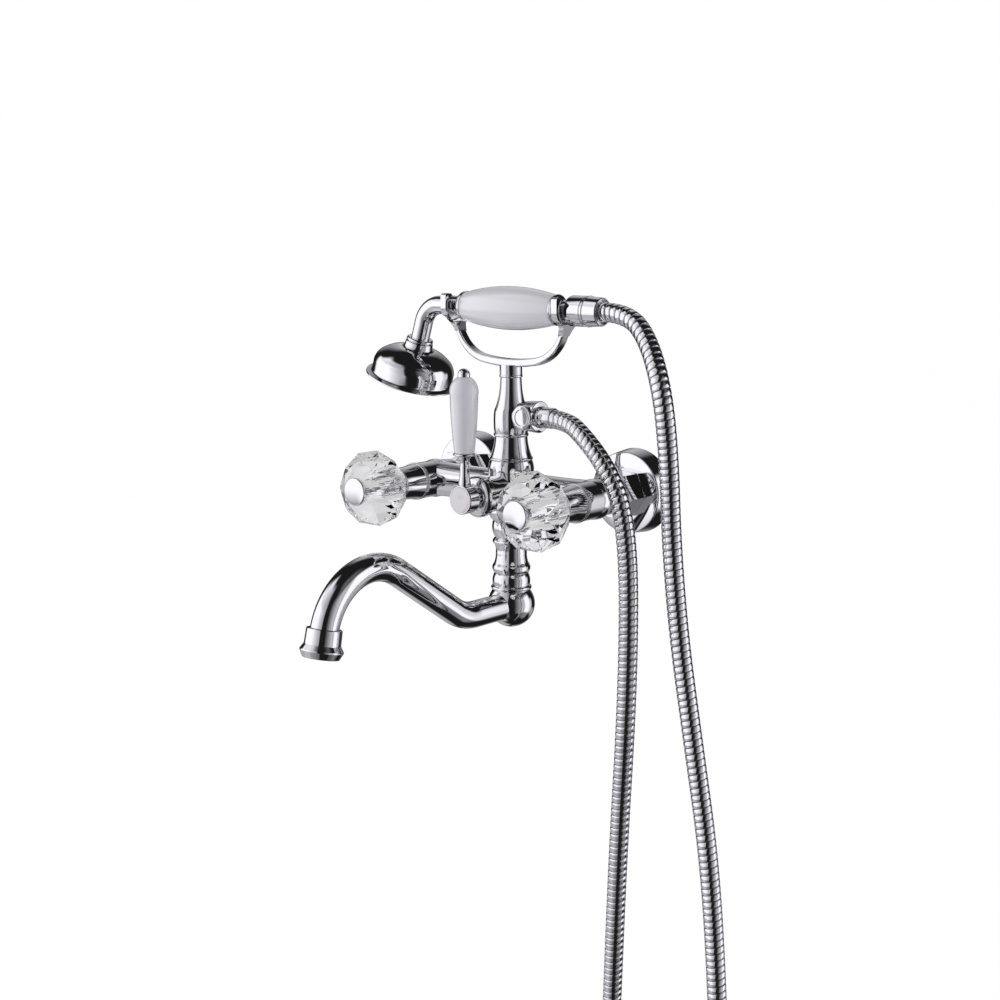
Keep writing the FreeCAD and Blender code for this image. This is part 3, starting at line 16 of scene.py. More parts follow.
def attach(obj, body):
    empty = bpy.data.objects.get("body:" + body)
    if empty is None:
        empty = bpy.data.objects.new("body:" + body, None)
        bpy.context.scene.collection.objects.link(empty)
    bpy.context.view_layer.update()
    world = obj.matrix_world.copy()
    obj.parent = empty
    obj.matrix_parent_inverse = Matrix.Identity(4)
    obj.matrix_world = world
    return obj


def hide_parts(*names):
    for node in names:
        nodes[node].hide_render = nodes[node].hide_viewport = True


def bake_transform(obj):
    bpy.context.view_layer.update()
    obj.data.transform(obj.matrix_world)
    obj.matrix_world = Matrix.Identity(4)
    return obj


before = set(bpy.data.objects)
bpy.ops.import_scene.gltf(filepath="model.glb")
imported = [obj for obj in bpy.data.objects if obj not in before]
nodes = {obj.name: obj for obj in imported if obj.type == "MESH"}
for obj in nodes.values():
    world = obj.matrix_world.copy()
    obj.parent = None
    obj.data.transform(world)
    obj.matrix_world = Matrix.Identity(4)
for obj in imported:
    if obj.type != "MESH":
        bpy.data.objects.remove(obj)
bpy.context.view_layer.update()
bpy.ops.object.select_all(action="DESELECT")

# %% [markdown]
# ## The camera
# A product photographer stands in front and to the right, a little above the mixer, with a slightly long lens so
# that nothing bulges. The camera's place is given in metres in the model's own frame. Its turn is built up in the
# order in which a tripod head is set: roll, then tilt, then pan. Light may bounce often, because a ray that enters
# a cut crystal is thrown about inside it many times, and one that is given up too early leaves a black splinter.

# %% Place the camera
eye = bpy.data.objects.new("camera", bpy.data.cameras.new("camera"))
bpy.context.scene.collection.objects.link(eye)
pan, tilt, roll = math.radians(40.79), math.radians(9.79), math.radians(-0.18)
turn = Matrix.Rotation(pan, 4, "Z") @ Matrix.Rotation(math.pi / 2 - tilt, 4, "X") @ Matrix.Rotation(roll, 4, "Z")
eye.matrix_world = Matrix.Translation((0.76591, -0.95158, 0.2012)) @ turn
eye.data.lens = 59.6
eye.data.sensor_width = 36
eye.data.clip_start = 0.01
bpy.context.scene.camera = eye
bpy.context.scene.view_settings.view_transform = "Standard"
cycles = bpy.context.scene.cycles
cycles.max_bounces = cycles.transmission_bounces = 32
cycles.glossy_bounces = 24
print("camera at", [round(v, 3) for v in eye.matrix_world.translation])

# %% [markdown]
# ## The studio
# Chrome has almost no colour of its own: what we see on it is the room. A studio for bright metal is a dark room
# with large soft boxes on both sides, grey screens beside them and black cards between, and the cards draw the dark
# lines that make the metal look deep. Lamps could light the mixer, but their mirror images would be small and hard.
# So the room is written into the world shader as a list of soft edged panels, each with its place by compass
# direction and height. Only mirrored and refracted rays see them; the camera itself sees plain white. In these
# node trees a Mix node takes its two colours at inputs 6 and 7, and a Map Range node its two limits at 1 and 2.

# %% Set up compass and height for the studio
CAMERA_SIDE = 39.9
CHROME_TONE = 0.8

world = bpy.data.worlds.new("studio")
bpy.context.scene.world = world
world.use_nodes = True
sky = world.node_tree
sky.nodes.clear()


def add(tree, kind, **settings):
    """Adds a node and sets its properties and, by name or number, its inputs."""
    node = tree.nodes.new("ShaderNode" + kind)
    for key, value in settings.items():
        if key == "inputs":
            for socket, number in value.items():
                node.inputs[socket].default_value = number
        else:
            setattr(node, key, value)
    return node


def link(tree, *pairs):
    """Joins output sockets to input sockets."""
    for start, end in pairs:
        tree.links.new(start, end)


way = add(sky, "TexCoord")
facing = add(sky, "VectorRotate", rotation_type="Z_AXIS", inputs={"Angle": -math.radians(CAMERA_SIDE)})
part = add(sky, "SeparateXYZ")
front = add(sky, "Math", operation="MULTIPLY", inputs={1: -1.0})
bearing = add(sky, "Math", operation="ARCTAN2")
compass = add(sky, "Math", operation="MULTIPLY", inputs={1: 180 / math.pi})
climb = add(sky, "Math", operation="ARCSINE")
height = add(sky, "Math", operation="MULTIPLY", inputs={1: 180 / math.pi})
link(sky, (way.outputs["Generated"], facing.inputs[0]), (facing.outputs[0], part.inputs[0]),
     (part.outputs["Y"], front.inputs[0]), (part.outputs["X"], bearing.inputs[0]),
     (front.outputs[0], bearing.inputs[1]), (bearing.outputs[0], compass.inputs[0]),
     (part.outputs["Z"], climb.inputs[0]), (climb.outputs[0], height.inputs[0]))
print("compass runs from the camera, rightwards")


# %% Hang the panels
def shine(seen):
    """The light that a panel must give to look this bright on chrome, a touch cooler than white."""
    level = seen ** 2.2 / CHROME_TONE
    return level, level * 0.985, level * 1.045, 1


def soft_step(value, start, end):
    """A soft step from 0 at start to 1 at end, falling when end lies below start."""
    step = add(sky, "MapRange", interpolation_type="SMOOTHSTEP", inputs={1: start, 2: end})
    link(sky, (value.outputs[0], step.inputs[0]))
    return step


def panel(behind, left, right, low, high, near, far, soft=6, fade=6):
    """Lays a panel over what is there, between two bearings and two heights, graded from left to right."""
    masks = [soft_step(compass, left - soft, left + soft), soft_step(compass, right + soft, right - soft),
             soft_step(height, low - fade, low + fade), soft_step(height, high + fade, high - fade)]
    mask = masks[0]
    for other in masks[1:]:
        both = add(sky, "Math", operation="MULTIPLY")
        link(sky, (mask.outputs[0], both.inputs[0]), (other.outputs[0], both.inputs[1]))
        mask = both
    grade = add(sky, "Mix", data_type="RGBA", inputs={6: shine(near), 7: shine(far)})
    laid = add(sky, "Mix", data_type="RGBA")
    link(sky, (soft_step(compass, left, right).outputs[0], grade.inputs[0]), (mask.outputs[0], laid.inputs[0]),
         (behind, laid.inputs[6]), (grade.outputs[2], laid.inputs[7]))
    return laid.outputs[2]


DARK_ROOM = 0.125

dark = add(sky, "RGB")
dark.outputs[0].default_value = shine(DARK_ROOM)
light = dark.outputs[0]
# Left and right bearing, low and high, brightness at the left and right end, softness sideways and upwards.
PANELS = {
    "glow behind on the left": (-185, -158, 12, 52, 0.75, 0.45, 8, 10),
    "glow behind on the right": (152, 185, 10, 52, 0.4, 0.7, 8, 10),
    "low wall, far left": (-172, -98, -66, -16, 0.64, 0.64, 8, 8),
    "low wall under the box": (-108, -62, -74, -18, 0.72, 0.68, 8, 8),
    "low wall by the camera": (-66, -15, -62, -18, 0.58, 0.4, 6, 8),
    "left box's flap": (-80, -18, -18, 42, 0.99, 0.64, 4, 7),
    "left box": (-127, -66, -14, 36, 0.99, 0.99, 8, 7),
    "left box's top": (-116, -20, 34, 65, 0.92, 0.62, 12, 6),
    "right wall": (20, 66, -38, 32, 0.36, 0.74, 7, 7),
    "right wall, upper half": (36, 78, 28, 54, 0.36, 0.34, 12, 7),
    "right box": (69, 103, -34, 28, 0.99, 0.96, 7, 7),
    "right box's outer flap": (99, 117, -30, 8, 0.82, 0.74, 3, 5),
    "right box's foot": (45, 102, -56, -34, 0.36, 0.5, 8, 6),
    "glow low behind on the right": (158, 185, -50, -10, 0.3, 0.65, 8, 8),
    "low screen on the right": (114, 150, -34, -19, 0.6, 0.6, 8, 4),
    "screen behind on the right": (148, 172, -8, 14, 0.4, 0.46, 6, 6),
}
for place in PANELS.values():
    light = panel(light, *place)
print("panels:", len(PANELS))

# %% Choose who sees the room
WHITE = (1, 1, 1, 1)
FILL = (0.56, 0.56, 0.58, 1)
WHITE_IN_GLASS = 0.6

path = add(sky, "LightPath")
plain = add(sky, "Mix", data_type="RGBA", inputs={6: FILL, 7: WHITE})
mirrored = add(sky, "Mix", data_type="RGBA")
clear = add(sky, "Mix", data_type="RGBA", inputs={0: WHITE_IN_GLASS, 7: WHITE})
room = add(sky, "Mix", data_type="RGBA")
glow = add(sky, "Background")
end = add(sky, "OutputWorld")
link(sky, (path.outputs["Is Camera Ray"], plain.inputs[0]), (path.outputs["Is Glossy Ray"], mirrored.inputs[0]),
     (plain.outputs[2], mirrored.inputs[6]), (light, mirrored.inputs[7]), (light, clear.inputs[6]),
     (path.outputs["Is Transmission Ray"], room.inputs[0]), (mirrored.outputs[2], room.inputs[6]),
     (clear.outputs[2], room.inputs[7]), (room.outputs[2], glow.inputs[0]), (glow.outputs[0], end.inputs[0]))
print("studio with", len(sky.nodes), "nodes")

# %% [markdown]
# Two large lamps stand where the soft boxes are, for soft shading on the porcelain. They are hidden from mirror
# rays, because the panels already show the boxes themselves. The white floor lies under the hose's loop. The
# camera sees it glow, so that it melts into the white behind, and it takes only a breath of shadow.

# %% Add the two soft lamps and the floor
LAMPS = {"left_box": (-103, 14, 11.0), "right_box": (88, 4, 5.0)}
LAMP_DISTANCE = 1.3
LAMP_SIZE = 1.2
FLOOR = -0.601

for name, (degrees, rise, power) in LAMPS.items():
    azimuth = math.radians(CAMERA_SIDE + degrees)
    place = Vector((math.sin(azimuth), -math.cos(azimuth), math.tan(math.radians(rise)))) * LAMP_DISTANCE
    lamp = bpy.data.objects.new(name, bpy.data.lights.new(name, "AREA"))
    bpy.context.scene.collection.objects.link(lamp)
    lamp.data.size, lamp.data.energy = LAMP_SIZE, power
    lamp.location = place
    lamp.rotation_euler = place.to_track_quat("Z", "Y").to_euler()
    lamp.visible_glossy = lamp.visible_transmission = False

bpy.ops.mesh.primitive_grid_add(x_subdivisions=8, y_subdivisions=8, size=14, location=(0, 0, FLOOR))
floor = bpy.context.object
floor.name = "studio_floor"
floor.visible_glossy = floor.visible_transmission = False
bpy.ops.object.transform_apply()
paper = bpy.data.materials.new("white_paper")
paper.use_nodes = True
sheet = paper.node_tree
glow = add(sheet, "Emission", inputs={"Color": WHITE, "Strength": 1.03})
seen = add(sheet, "LightPath")
mostly = add(sheet, "Math", operation="MULTIPLY", inputs={1: 0.94})
both = add(sheet, "MixShader")
matt = sheet.nodes["Principled BSDF"]
matt.inputs["Base Color"].default_value = (0.95, 0.95, 0.95, 1)
matt.inputs["Roughness"].default_value = 0.9
link(sheet, (seen.outputs["Is Camera Ray"], mostly.inputs[0]), (mostly.outputs[0], both.inputs[0]),
     (matt.outputs[0], both.inputs[1]), (glow.outputs[0], both.inputs[2]),
     (both.outputs[0], sheet.nodes["Material Output"].inputs[0]))
floor.data.materials.append(paper)
print("floor at", FLOOR)

# %% [markdown]
# ## Finishes
# Every plated or glazed surface has been wiped by hand: the polish is a touch uneven, and dried water leaves faint
# clouds. One node group makes those marks from noise in object space, in metres, and each material decides how
# strongly it shows them. The gloss itself stays in each material's own shader.

# %% Build the group for handling marks
marks = bpy.data.node_groups.new("handling_marks", "ShaderNodeTree")
for name, kind, way_in in (
    ("Vector", "NodeSocketVector", "INPUT"), ("Cloud Size", "NodeSocketFloat", "INPUT"),
    ("Clean", "NodeSocketFloat", "INPUT"), ("Marked", "NodeSocketFloat", "INPUT"),
    ("Tone", "NodeSocketColor", "INPUT"), ("Shade", "NodeSocketColor", "INPUT"),
    ("Roughness", "NodeSocketFloat", "OUTPUT"), ("Color", "NodeSocketColor", "OUTPUT"),
    ("Height", "NodeSocketFloat", "OUTPUT"),
):
    marks.interface.new_socket(name=name, in_out=way_in, socket_type=kind)
given = marks.nodes.new("NodeGroupInput")
made = marks.nodes.new("NodeGroupOutput")
cloud = add(marks, "TexNoise", inputs={"Detail": 4.0, "Roughness": 0.6})
fine = add(marks, "TexNoise", inputs={"Scale": 2600.0, "Detail": 2.0})
wave = add(marks, "TexNoise", inputs={"Scale": 90.0, "Detail": 1.0})
patch = add(marks, "MapRange", interpolation_type="SMOOTHSTEP", inputs={1: 0.45, 2: 0.72})
speck = add(marks, "MapRange", inputs={1: 0.55, 2: 0.8})
both_marks = add(marks, "Math", operation="MULTIPLY_ADD", inputs={1: 0.25})
rough = add(marks, "Mix", data_type="FLOAT")
tone = add(marks, "Mix", data_type="RGBA")
relief = add(marks, "Math", operation="MULTIPLY_ADD", inputs={1: 0.02})
link(marks, (given.outputs["Vector"], cloud.inputs["Vector"]), (given.outputs["Cloud Size"], cloud.inputs["Scale"]),
     (given.outputs["Vector"], fine.inputs["Vector"]), (given.outputs["Vector"], wave.inputs["Vector"]),
     (cloud.outputs[0], patch.inputs[0]), (fine.outputs[0], speck.inputs[0]),
     (speck.outputs[0], both_marks.inputs[0]), (patch.outputs[0], both_marks.inputs[2]),
     (both_marks.outputs[0], rough.inputs[0]), (given.outputs["Clean"], rough.inputs[2]),
     (given.outputs["Marked"], rough.inputs[3]), (patch.outputs[0], tone.inputs[0]),
     (given.outputs["Tone"], tone.inputs[6]), (given.outputs["Shade"], tone.inputs[7]),
     (fine.outputs[0], relief.inputs[0]), (wave.outputs[0], relief.inputs[2]),
     (rough.outputs[0], made.inputs["Roughness"]), (tone.outputs[2], made.inputs["Color"]),
     (relief.outputs[0], made.inputs["Height"]))
print("group with", len(marks.nodes), "nodes")

# %% [markdown]
# A finish is a Principled shader fed by that group. Metals are fully metallic. The grips are glazed porcelain: a
# white body under a clear coat. The knobs are cut glass, so they get transmission and glass's index instead.


# %% Mix the finishes
def finish(name, tone, shade, clean, marked, cloud=35.0, bump=0.0, **shader_values):
    """A material whose colour, roughness and relief vary with the handling marks."""
    material = bpy.data.materials.new(name)
    material.use_nodes = True
    tree = material.node_tree
    shader = tree.nodes["Principled BSDF"]
    place = add(tree, "TexCoord")
    group = tree.nodes.new("ShaderNodeGroup")
    group.node_tree = marks
    for socket, value in (("Cloud Size", cloud), ("Clean", clean), ("Marked", marked),
                          ("Tone", (*tone, 1)), ("Shade", (*shade, 1))):
        group.inputs[socket].default_value = value
    link(tree, (place.outputs["Object"], group.inputs["Vector"]),
         (group.outputs["Roughness"], shader.inputs["Roughness"]),
         (group.outputs["Color"], shader.inputs["Base Color"]))
    if bump:
        dent = add(tree, "Bump", inputs={"Strength": 1.0, "Distance": bump})
        link(tree, (group.outputs["Height"], dent.inputs["Height"]), (dent.outputs[0], shader.inputs["Normal"]))
    for socket, value in shader_values.items():
        shader.inputs[socket.replace("_", " ")].default_value = value
    return material


chrome = finish("polished_chrome", (0.81, 0.81, 0.82), (0.77, 0.77, 0.785), 0.008, 0.035, bump=0.00001,
                Metallic=1.0)
strip = finish("hose_strip", (0.82, 0.82, 0.83), (0.75, 0.75, 0.765), 0.02, 0.06, cloud=60.0, bump=0.00002,
               Metallic=1.0)
satin = finish("satin_disc", (0.72, 0.71, 0.71), (0.65, 0.64, 0.64), 0.36, 0.46, cloud=120.0, bump=0.00003,
               Metallic=1.0)
steel = finish("screw_steel", (0.62, 0.62, 0.64), (0.5, 0.5, 0.52), 0.22, 0.35, Metallic=1.0)
brass = finish("turned_brass", (0.78, 0.6, 0.3), (0.62, 0.46, 0.22), 0.22, 0.38, Metallic=1.0)
porcelain = finish("glazed_porcelain", (0.80, 0.795, 0.83), (0.785, 0.78, 0.82), 0.16, 0.22, bump=0.00004,
                   Coat_Weight=1.0, Coat_Roughness=0.03, Specular_IOR_Level=0.55)
disc = finish("lapped_ceramic", (0.9, 0.89, 0.86), (0.84, 0.83, 0.8), 0.2, 0.3)
# The same black rubber is also painted shade at the foot of the hose's groove.
rubber_and_groove_shade = finish("black_rubber_and_groove_shade", (0.03, 0.03, 0.03), (0.06, 0.06, 0.06), 0.55, 0.75, bump=0.00005)
nozzle = finish("grey_plastic", (0.42, 0.43, 0.45), (0.34, 0.35, 0.37), 0.35, 0.5, bump=0.00003)
crystal = finish("cut_crystal", (0.995, 0.99, 1.0), (0.985, 0.98, 0.99), 0.0, 0.004, cloud=50.0,
                 Transmission_Weight=1.0, IOR=1.5)
print("finishes:", len(bpy.data.materials))

# %% [markdown]
# The pieces that are right as they are in the solid model only get their finish. Each name says what the piece is,
# so a short list of words is enough to sort them.

# %% Give the solid model's pieces their finishes
SORTED = {
    "crystal": crystal, "hub_disc": satin, "screw": steel, "stud": steel, "spindle": brass, "headwork": brass,
    "rotor": brass, "nipple": brass, "_disc_": disc, "fixed_discs": disc, "washer": rubber_and_groove_shade,
    "o_rings": rubber_and_groove_shade, "aerator_screen": nozzle, "grip": porcelain, "shower_hose": strip,
}
for name, piece in nodes.items():
    material = next((m for word, m in SORTED.items() if word in name), chrome)
    for slot in piece.material_slots:
        slot.material = material
    if not piece.material_slots:
        piece.data.materials.append(material)
print("dressed", len(nodes), "pieces")

# %% [markdown]
# ## Turning on the lathe
# Most of this mixer came off a lathe, so most pieces are made as a turner makes them: a profile of radii and
# heights, swept round an axis. A Screw modifier could do it, but drawing the rings one after another shows how a
# form grows: a circle is added, then each step of the profile is an extrude and a resize. Sharp corners are never
# truly sharp on plated metal, so each gets a small rounding with a support ring on either side, which keeps the
# flats flat under smooth shading. A corner of less than `BLUNT` degrees needs none, and no rounding takes more than
# `CORNER_SHARE` of the step next to it. All profile numbers are millimetres.

# %% Work out the rings of a profile
MM = 0.001
EDGE = 0.35
BLUNT = 22
CORNER_SHARE = 0.3


def rings(steps, edge=EDGE):
    """Points (radius, height) along a profile. A step's third number bows its edge outwards by that much."""
    points = [steps[0][:2]]
    for (r0, h0, *_), (r1, h1, *bow) in zip(steps, steps[1:]):
        chord = math.hypot(r1 - r0, h1 - h0)
        if bow:
            rise = bow[0]
            radius = (chord ** 2 / 4 + rise ** 2) / (2 * abs(rise))
            half = math.asin(min(1.0, chord / 2 / radius))
            # Enough points for a smooth arc, but no more than its length or its turn needs.
            count = max(4, min(40, int(chord * 1.5), int(math.degrees(2 * half) / 4) + 4))
            side_r, side_h = (h1 - h0) / chord, -(r1 - r0) / chord
            for k in range(1, count):
                angle = half * (2 * k / count - 1)
                along = 0.5 + radius * math.sin(angle) / chord
                out = (radius * (math.cos(angle) - math.cos(half))) * (1 if rise > 0 else -1)
                points.append((r0 + (r1 - r0) * along + side_r * out, h0 + (h1 - h0) * along + side_h * out))
        points.append((r1, h1))
    closed = steps[0][0] > 0
    result = []
    last = len(points)
    for k, (r, h) in enumerate(points):
        if not closed and k in (0, last - 1):
            result.append((r, h))
            continue
        (ar, ah), (br, bh) = points[k - 1], points[(k + 1) % last]
        back, ahead = math.hypot(r - ar, h - ah), math.hypot(br - r, bh - h)
        if back < 1e-6 or ahead < 1e-6:
            continue
        ur, uh, vr, vh = (ar - r) / back, (ah - h) / back, (br - r) / ahead, (bh - h) / ahead
        sharp = math.degrees(math.acos(max(-1.0, min(1.0, -(ur * vr + uh * vh)))))
        if sharp < BLUNT:
            result.append((r, h))
            continue
        cut = min(edge, back * CORNER_SHARE, ahead * CORNER_SHARE)
        near = cut * 1.5
        result.append((r + ur * near, h + uh * near))
        for t in (0, 0.25, 0.5, 0.75, 1):
            p, q = (1 - t) ** 2 * cut, t ** 2 * cut
            result.append((r + ur * p + vr * q, h + uh * p + vh * q))
        result.append((r + vr * near, h + vh * near))
    return result


print("a plain rod has", len(rings([(0, 0), (5, 0), (5, 9), (0, 9)])), "rings")

# %% [markdown]
# The tool itself: a solid piece starts as a filled circle and carries its end face along; a hollow one starts as a
# bare ring and comes back to where it began. A ring of no size could not grow again, so a point keeps a tiny
# `POINT_RADIUS`. `UP`, `OUT`, `LEFT` and `RIGHT` say where the lathe's axis points, and `spot` gives a place by its
# distance to the right, out from the wall, and up from the body's middle, `BODY_UP` above the wall's two threads.

# %% Turn a piece
BODY_UP = 6.0
POINT_RADIUS = 0.02
UP = Quaternion()
OUT = Quaternion((1, 0, 0), math.pi / 2)
RIGHT = Quaternion((0, 1, 0), math.pi / 2)
LEFT = Quaternion((0, 1, 0), -math.pi / 2)


def spot(x, out, up):
    """A place in metres from the mixer's own millimetres."""
    return Vector((x, -out, BODY_UP + up)) * MM


def turned(name, steps, axis, place, sides=96, edge=EDGE):
    """A piece turned from a profile about an axis, built ring by ring."""
    hollow = steps[0][0] > 0
    outline = rings(steps, edge)
    if not hollow:
        outline = [(max(r, POINT_RADIUS), h) for r, h in outline]
        if abs(outline[0][1] - outline[1][1]) < 1e-4:
            outline = outline[1:]
        if abs(outline[-1][1] - outline[-2][1]) < 1e-4:
            outline = outline[:-1]
    bpy.ops.object.select_all(action="DESELECT")
    here = outline[0]
    bpy.ops.mesh.primitive_circle_add(vertices=sides, radius=here[0] * MM, location=(0, 0, here[1] * MM),
                                      fill_type="NOTHING" if hollow else "NGON")
    piece = bpy.context.object
    piece.name = name
    bpy.ops.object.mode_set(mode="EDIT")
    for radius, level in outline[1:] + (outline[:1] if hollow else []):
        bpy.ops.mesh.extrude_region_move(TRANSFORM_OT_translate={"value": (0, 0, (level - here[1]) * MM)})
        grow = radius / here[0]
        bpy.ops.transform.resize(value=(grow, grow, 1))
        here = (radius, level)
    bpy.ops.mesh.select_all(action="SELECT")
    bpy.ops.mesh.remove_doubles(threshold=2e-7)
    bpy.ops.mesh.normals_make_consistent(inside=False)
    bpy.ops.object.mode_set(mode="OBJECT")
    bpy.ops.object.shade_smooth_by_angle(angle=math.radians(40))
    piece.matrix_world = Matrix.Translation(place) @ axis.to_matrix().to_4x4() @ piece.matrix_world
    bpy.ops.object.transform_apply()
    return piece


def alone(*pieces):
    """Selects these objects and no others, with the first one active."""
    bpy.ops.object.select_all(action="DESELECT")
    for piece in pieces:
        piece.select_set(True)
    bpy.context.view_layer.objects.active = pieces[0]


def joined(name, *parts):
    """One object from several, each a closed skin of its own."""
    alone(*parts)
    bpy.ops.object.join()
    parts[0].name = name
    return parts[0]


def fit(piece, material, slot, body, *replaced):
    """Gives a piece its finish and its body, and says which solids it stands for."""
    piece.data.materials.clear()
    piece.data.materials.append(material)
    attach(piece, body)
    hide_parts(*replaced)
    print(piece.name, len(piece.data.polygons), "faces for", ", ".join(replaced))


print("the lathe cuts edges of", EDGE, "mm")

# %% [markdown]
# ## The body
# The body is one casting: a barrel in the middle, two arms that end in elbows, and hubs front and back. Each form
# is turned on its own axis and they run into each other, as the pattern maker's cores do.

# %% Turn the body casting
HALF_SPAN = 75.0
COLUMN = 51.5
DIVERTER_UP = -1.6

parts = [turned("barrel", [(0, -23), (13.4, -23), (16.4, -15.5, 1.0), (16.4, 12), (15.2, 21, 0.6), (0, 21)],
                UP, spot(0, COLUMN, 0)),
         turned("diverter_hub", [(0, 51.5), (12.6, 51.5), (12.6, 87.5), (0, 87.5)], OUT, spot(0, 0, DIVERTER_UP))]
for side, axis in ((-1, LEFT), (1, RIGHT)):
    parts += [
        turned("arm", [(0, 2), (12.4, 2), (12.4, 38), (13.2, 75, -0.3), (0, 75)], axis, spot(0, COLUMN, 0)),
        turned("elbow", [(0, -14.3), (14.3, 0, 4.19), (0, 14.3, 4.19)], axis, spot(side * HALF_SPAN, COLUMN, 0)),
        turned("rear_hub", [(0, 35.5), (12.8, 35.5), (12.8, 51.5), (0, 51.5)], OUT, spot(side * HALF_SPAN, 0, 0)),
        turned("front_hub", [(0, 51.5), (13.4, 51.5), (13.4, 71.5), (0, 71.5)], OUT, spot(side * HALF_SPAN, 0, 0)),
    ]
fit(joined("body_casting", *parts), chrome, "chrome", "mixer", "mixer_body")

# %% [markdown]
# Behind each arm a round cover hides the hole in the tiles. It is pressed from thin sheet, so its profile is a
# thin wall with a rolled front edge. The bonnets over the two valves are turned with a double ring at the body.

# %% Turn the wall covers and the bonnets
for word, side in (("hot", -1), ("cold", 1)):
    cover = [(13.32, 15), (28, 15), (29.2, 13.8, -0.36), (30.5, 0), (28.9, 0), (27.6, 12.2), (26.4, 13.4),
             (13.32, 13.4)]
    fit(turned("wall_cover_" + word, cover, OUT, spot(side * HALF_SPAN, 0, 0), 128), chrome, "chrome", "mixer",
        "escutcheon_" + word)
    hood = [(11.7, 71.5), (13.2, 71.5), (13.2, 73.1, 0.7), (13.2, 74.7, 0.7), (12, 92.9, -0.4), (11.2, 93.54),
            (11.5, 94.5), (7, 94.5), (7, 92), (9.9, 90.5)]
    fit(turned("valve_bonnet_" + word, hood, OUT, spot(side * HALF_SPAN, 0, 0)), chrome, "chrome", "mixer",
        "bonnet_" + word)
    cap = [(0, 130.6), (4.4, 130.6), (4.4, 133.6), (10.2, 133.6), (10.2, 135.8), (9.2, 136.8, 0.3), (0, 137.2, 0.1)]
    fit(turned("index_cap_" + word, cap, OUT, spot(side * HALF_SPAN, 0, 0)), chrome, "chrome", word + "_knob",
        "knob_cap_" + word)

# %% [markdown]
# ## The diverter and its lever
# In front of the barrel sits a domed nut, then a small grooved gland, then the round hub that carries the lever.
# The lever is a turned stem with a ferrule, a porcelain grip that is fullest near the top, and a domed nut.

# %% Turn the diverter's pieces
LEVER = spot(0, 101.8, DIVERTER_UP)
dome = [(12.8, 84.5), (14.7, 84.5), (14.7, 88.7), (9.9, 92, 0.8), (5.2, 92), (5.2, 87.5), (12.8, 87.5)]
fit(turned("diverter_dome", dome, OUT, spot(0, 0, DIVERTER_UP)), chrome, "chrome", "mixer", "diverter_bonnet")
hub = [(0, 96.8), (9.5, 96.8), (10.3, 97.6), (10.3, 106.2), (9.7, 106.8), (9, 106.8), (9, 105.8), (0, 105.8)]
fit(turned("lever_boss", hub, OUT, spot(0, 0, DIVERTER_UP), edge=0.2), chrome, "chrome", "diverter", "lever_hub")
stem = [(0, 9.1), (4.5, 9.1), (4.5, 11.3), (3.4, 23.1, -0.4), (4.8, 30.5, -0.8), (7.4, 30.9), (7.4, 32.7, 0.5),
        (2, 32.7), (2, 88.9), (0, 88.9)]
fit(turned("lever_stalk", stem, UP, LEVER, 64, 0.25), chrome, "chrome", "diverter", "lever_stem")
grip = [(2.2, 32.7), (7.1, 32.7), (10, 73.66, 0.5), (4.6, 85.9, 2.1), (2.2, 85.9)]
fit(turned("lever_handle", grip, UP, LEVER, 96, 0.6), porcelain, "porcelain", "diverter", "lever_grip")
button = [(0, 85.9), (4.4, 85.9), (4.4, 87.9), (0, 91.9, 1.15)]
fit(turned("lever_button", button, UP, LEVER, 64, 0.2), chrome, "chrome", "diverter", "lever_finial")

# %% [markdown]
# ## The column and the hose outlet
# Above the body rises a turned column with three rings. The outlet for the hose leaves it to the right: a short
# barrel with a round boss on its front, and a smooth ferrule over the end of the hose.

# %% Turn the column, the outlet and its ferrule
column = [(5.5, 21), (15.1, 21), (15.1, 23.2, 0.7), (11.8, 38.2, -0.7), (12.2, 38.2), (12.2, 40.4, 0.5), (12, 40.4),
          (12.5, 47, 0.15), (12, 57, 0.25), (8, 73.5, -0.7), (7.6, 80.5), (8, 80.5), (8, 82.5, 0.4), (3.1, 82.5),
          (3.1, 73.5), (5.5, 71.5)]
fit(turned("column", column, UP, spot(0, COLUMN, 0), edge=0.25), chrome, "chrome", "mixer", "riser_column")
barrel = [(4.5, 6.5), (6.2, 6.5), (6.2, 11), (9.5, 11), (10.3, 13.8, 0.25), (11.3, 26.6, 0.2), (10.5, 27.4, 0.25),
          (4.5, 27.4)]
boss = [(0, 8), (8.9, 8), (8.9, 11), (7.3, 12.6, 0.48), (5.9, 12.6), (5.6, 12.1), (0, 12.1)]
OUTLET_UP = 53.7
fit(joined("outlet_elbow", turned("outlet_barrel", barrel, RIGHT, spot(0, COLUMN, OUTLET_UP)),
           turned("outlet_boss", boss, OUT, spot(19.8, COLUMN, OUTLET_UP), edge=0.25)),
    chrome, "chrome", "mixer", "hose_outlet")
ferrule = [(6.8, 27.4), (7.8, 27.4), (7.8, 28.8), (7.4, 29.6), (7.4, 39), (7, 40), (6.8, 40)]
fit(turned("outlet_ferrule", ferrule, RIGHT, spot(0, COLUMN, OUTLET_UP), 64, 0.2), chrome, "chrome", "mixer",
    "outlet_nut")

# %% [markdown]
# ## The spout
# Below the body a turned post carries the swivel: a barrel, a ring and a ball that the tube enters. The swan neck
# is a bent tube, so it is made as a bender makes it: a ring is extruded along the straights and spun round the
# centre of each bend, with a ring every `BEND_STEP` degrees.


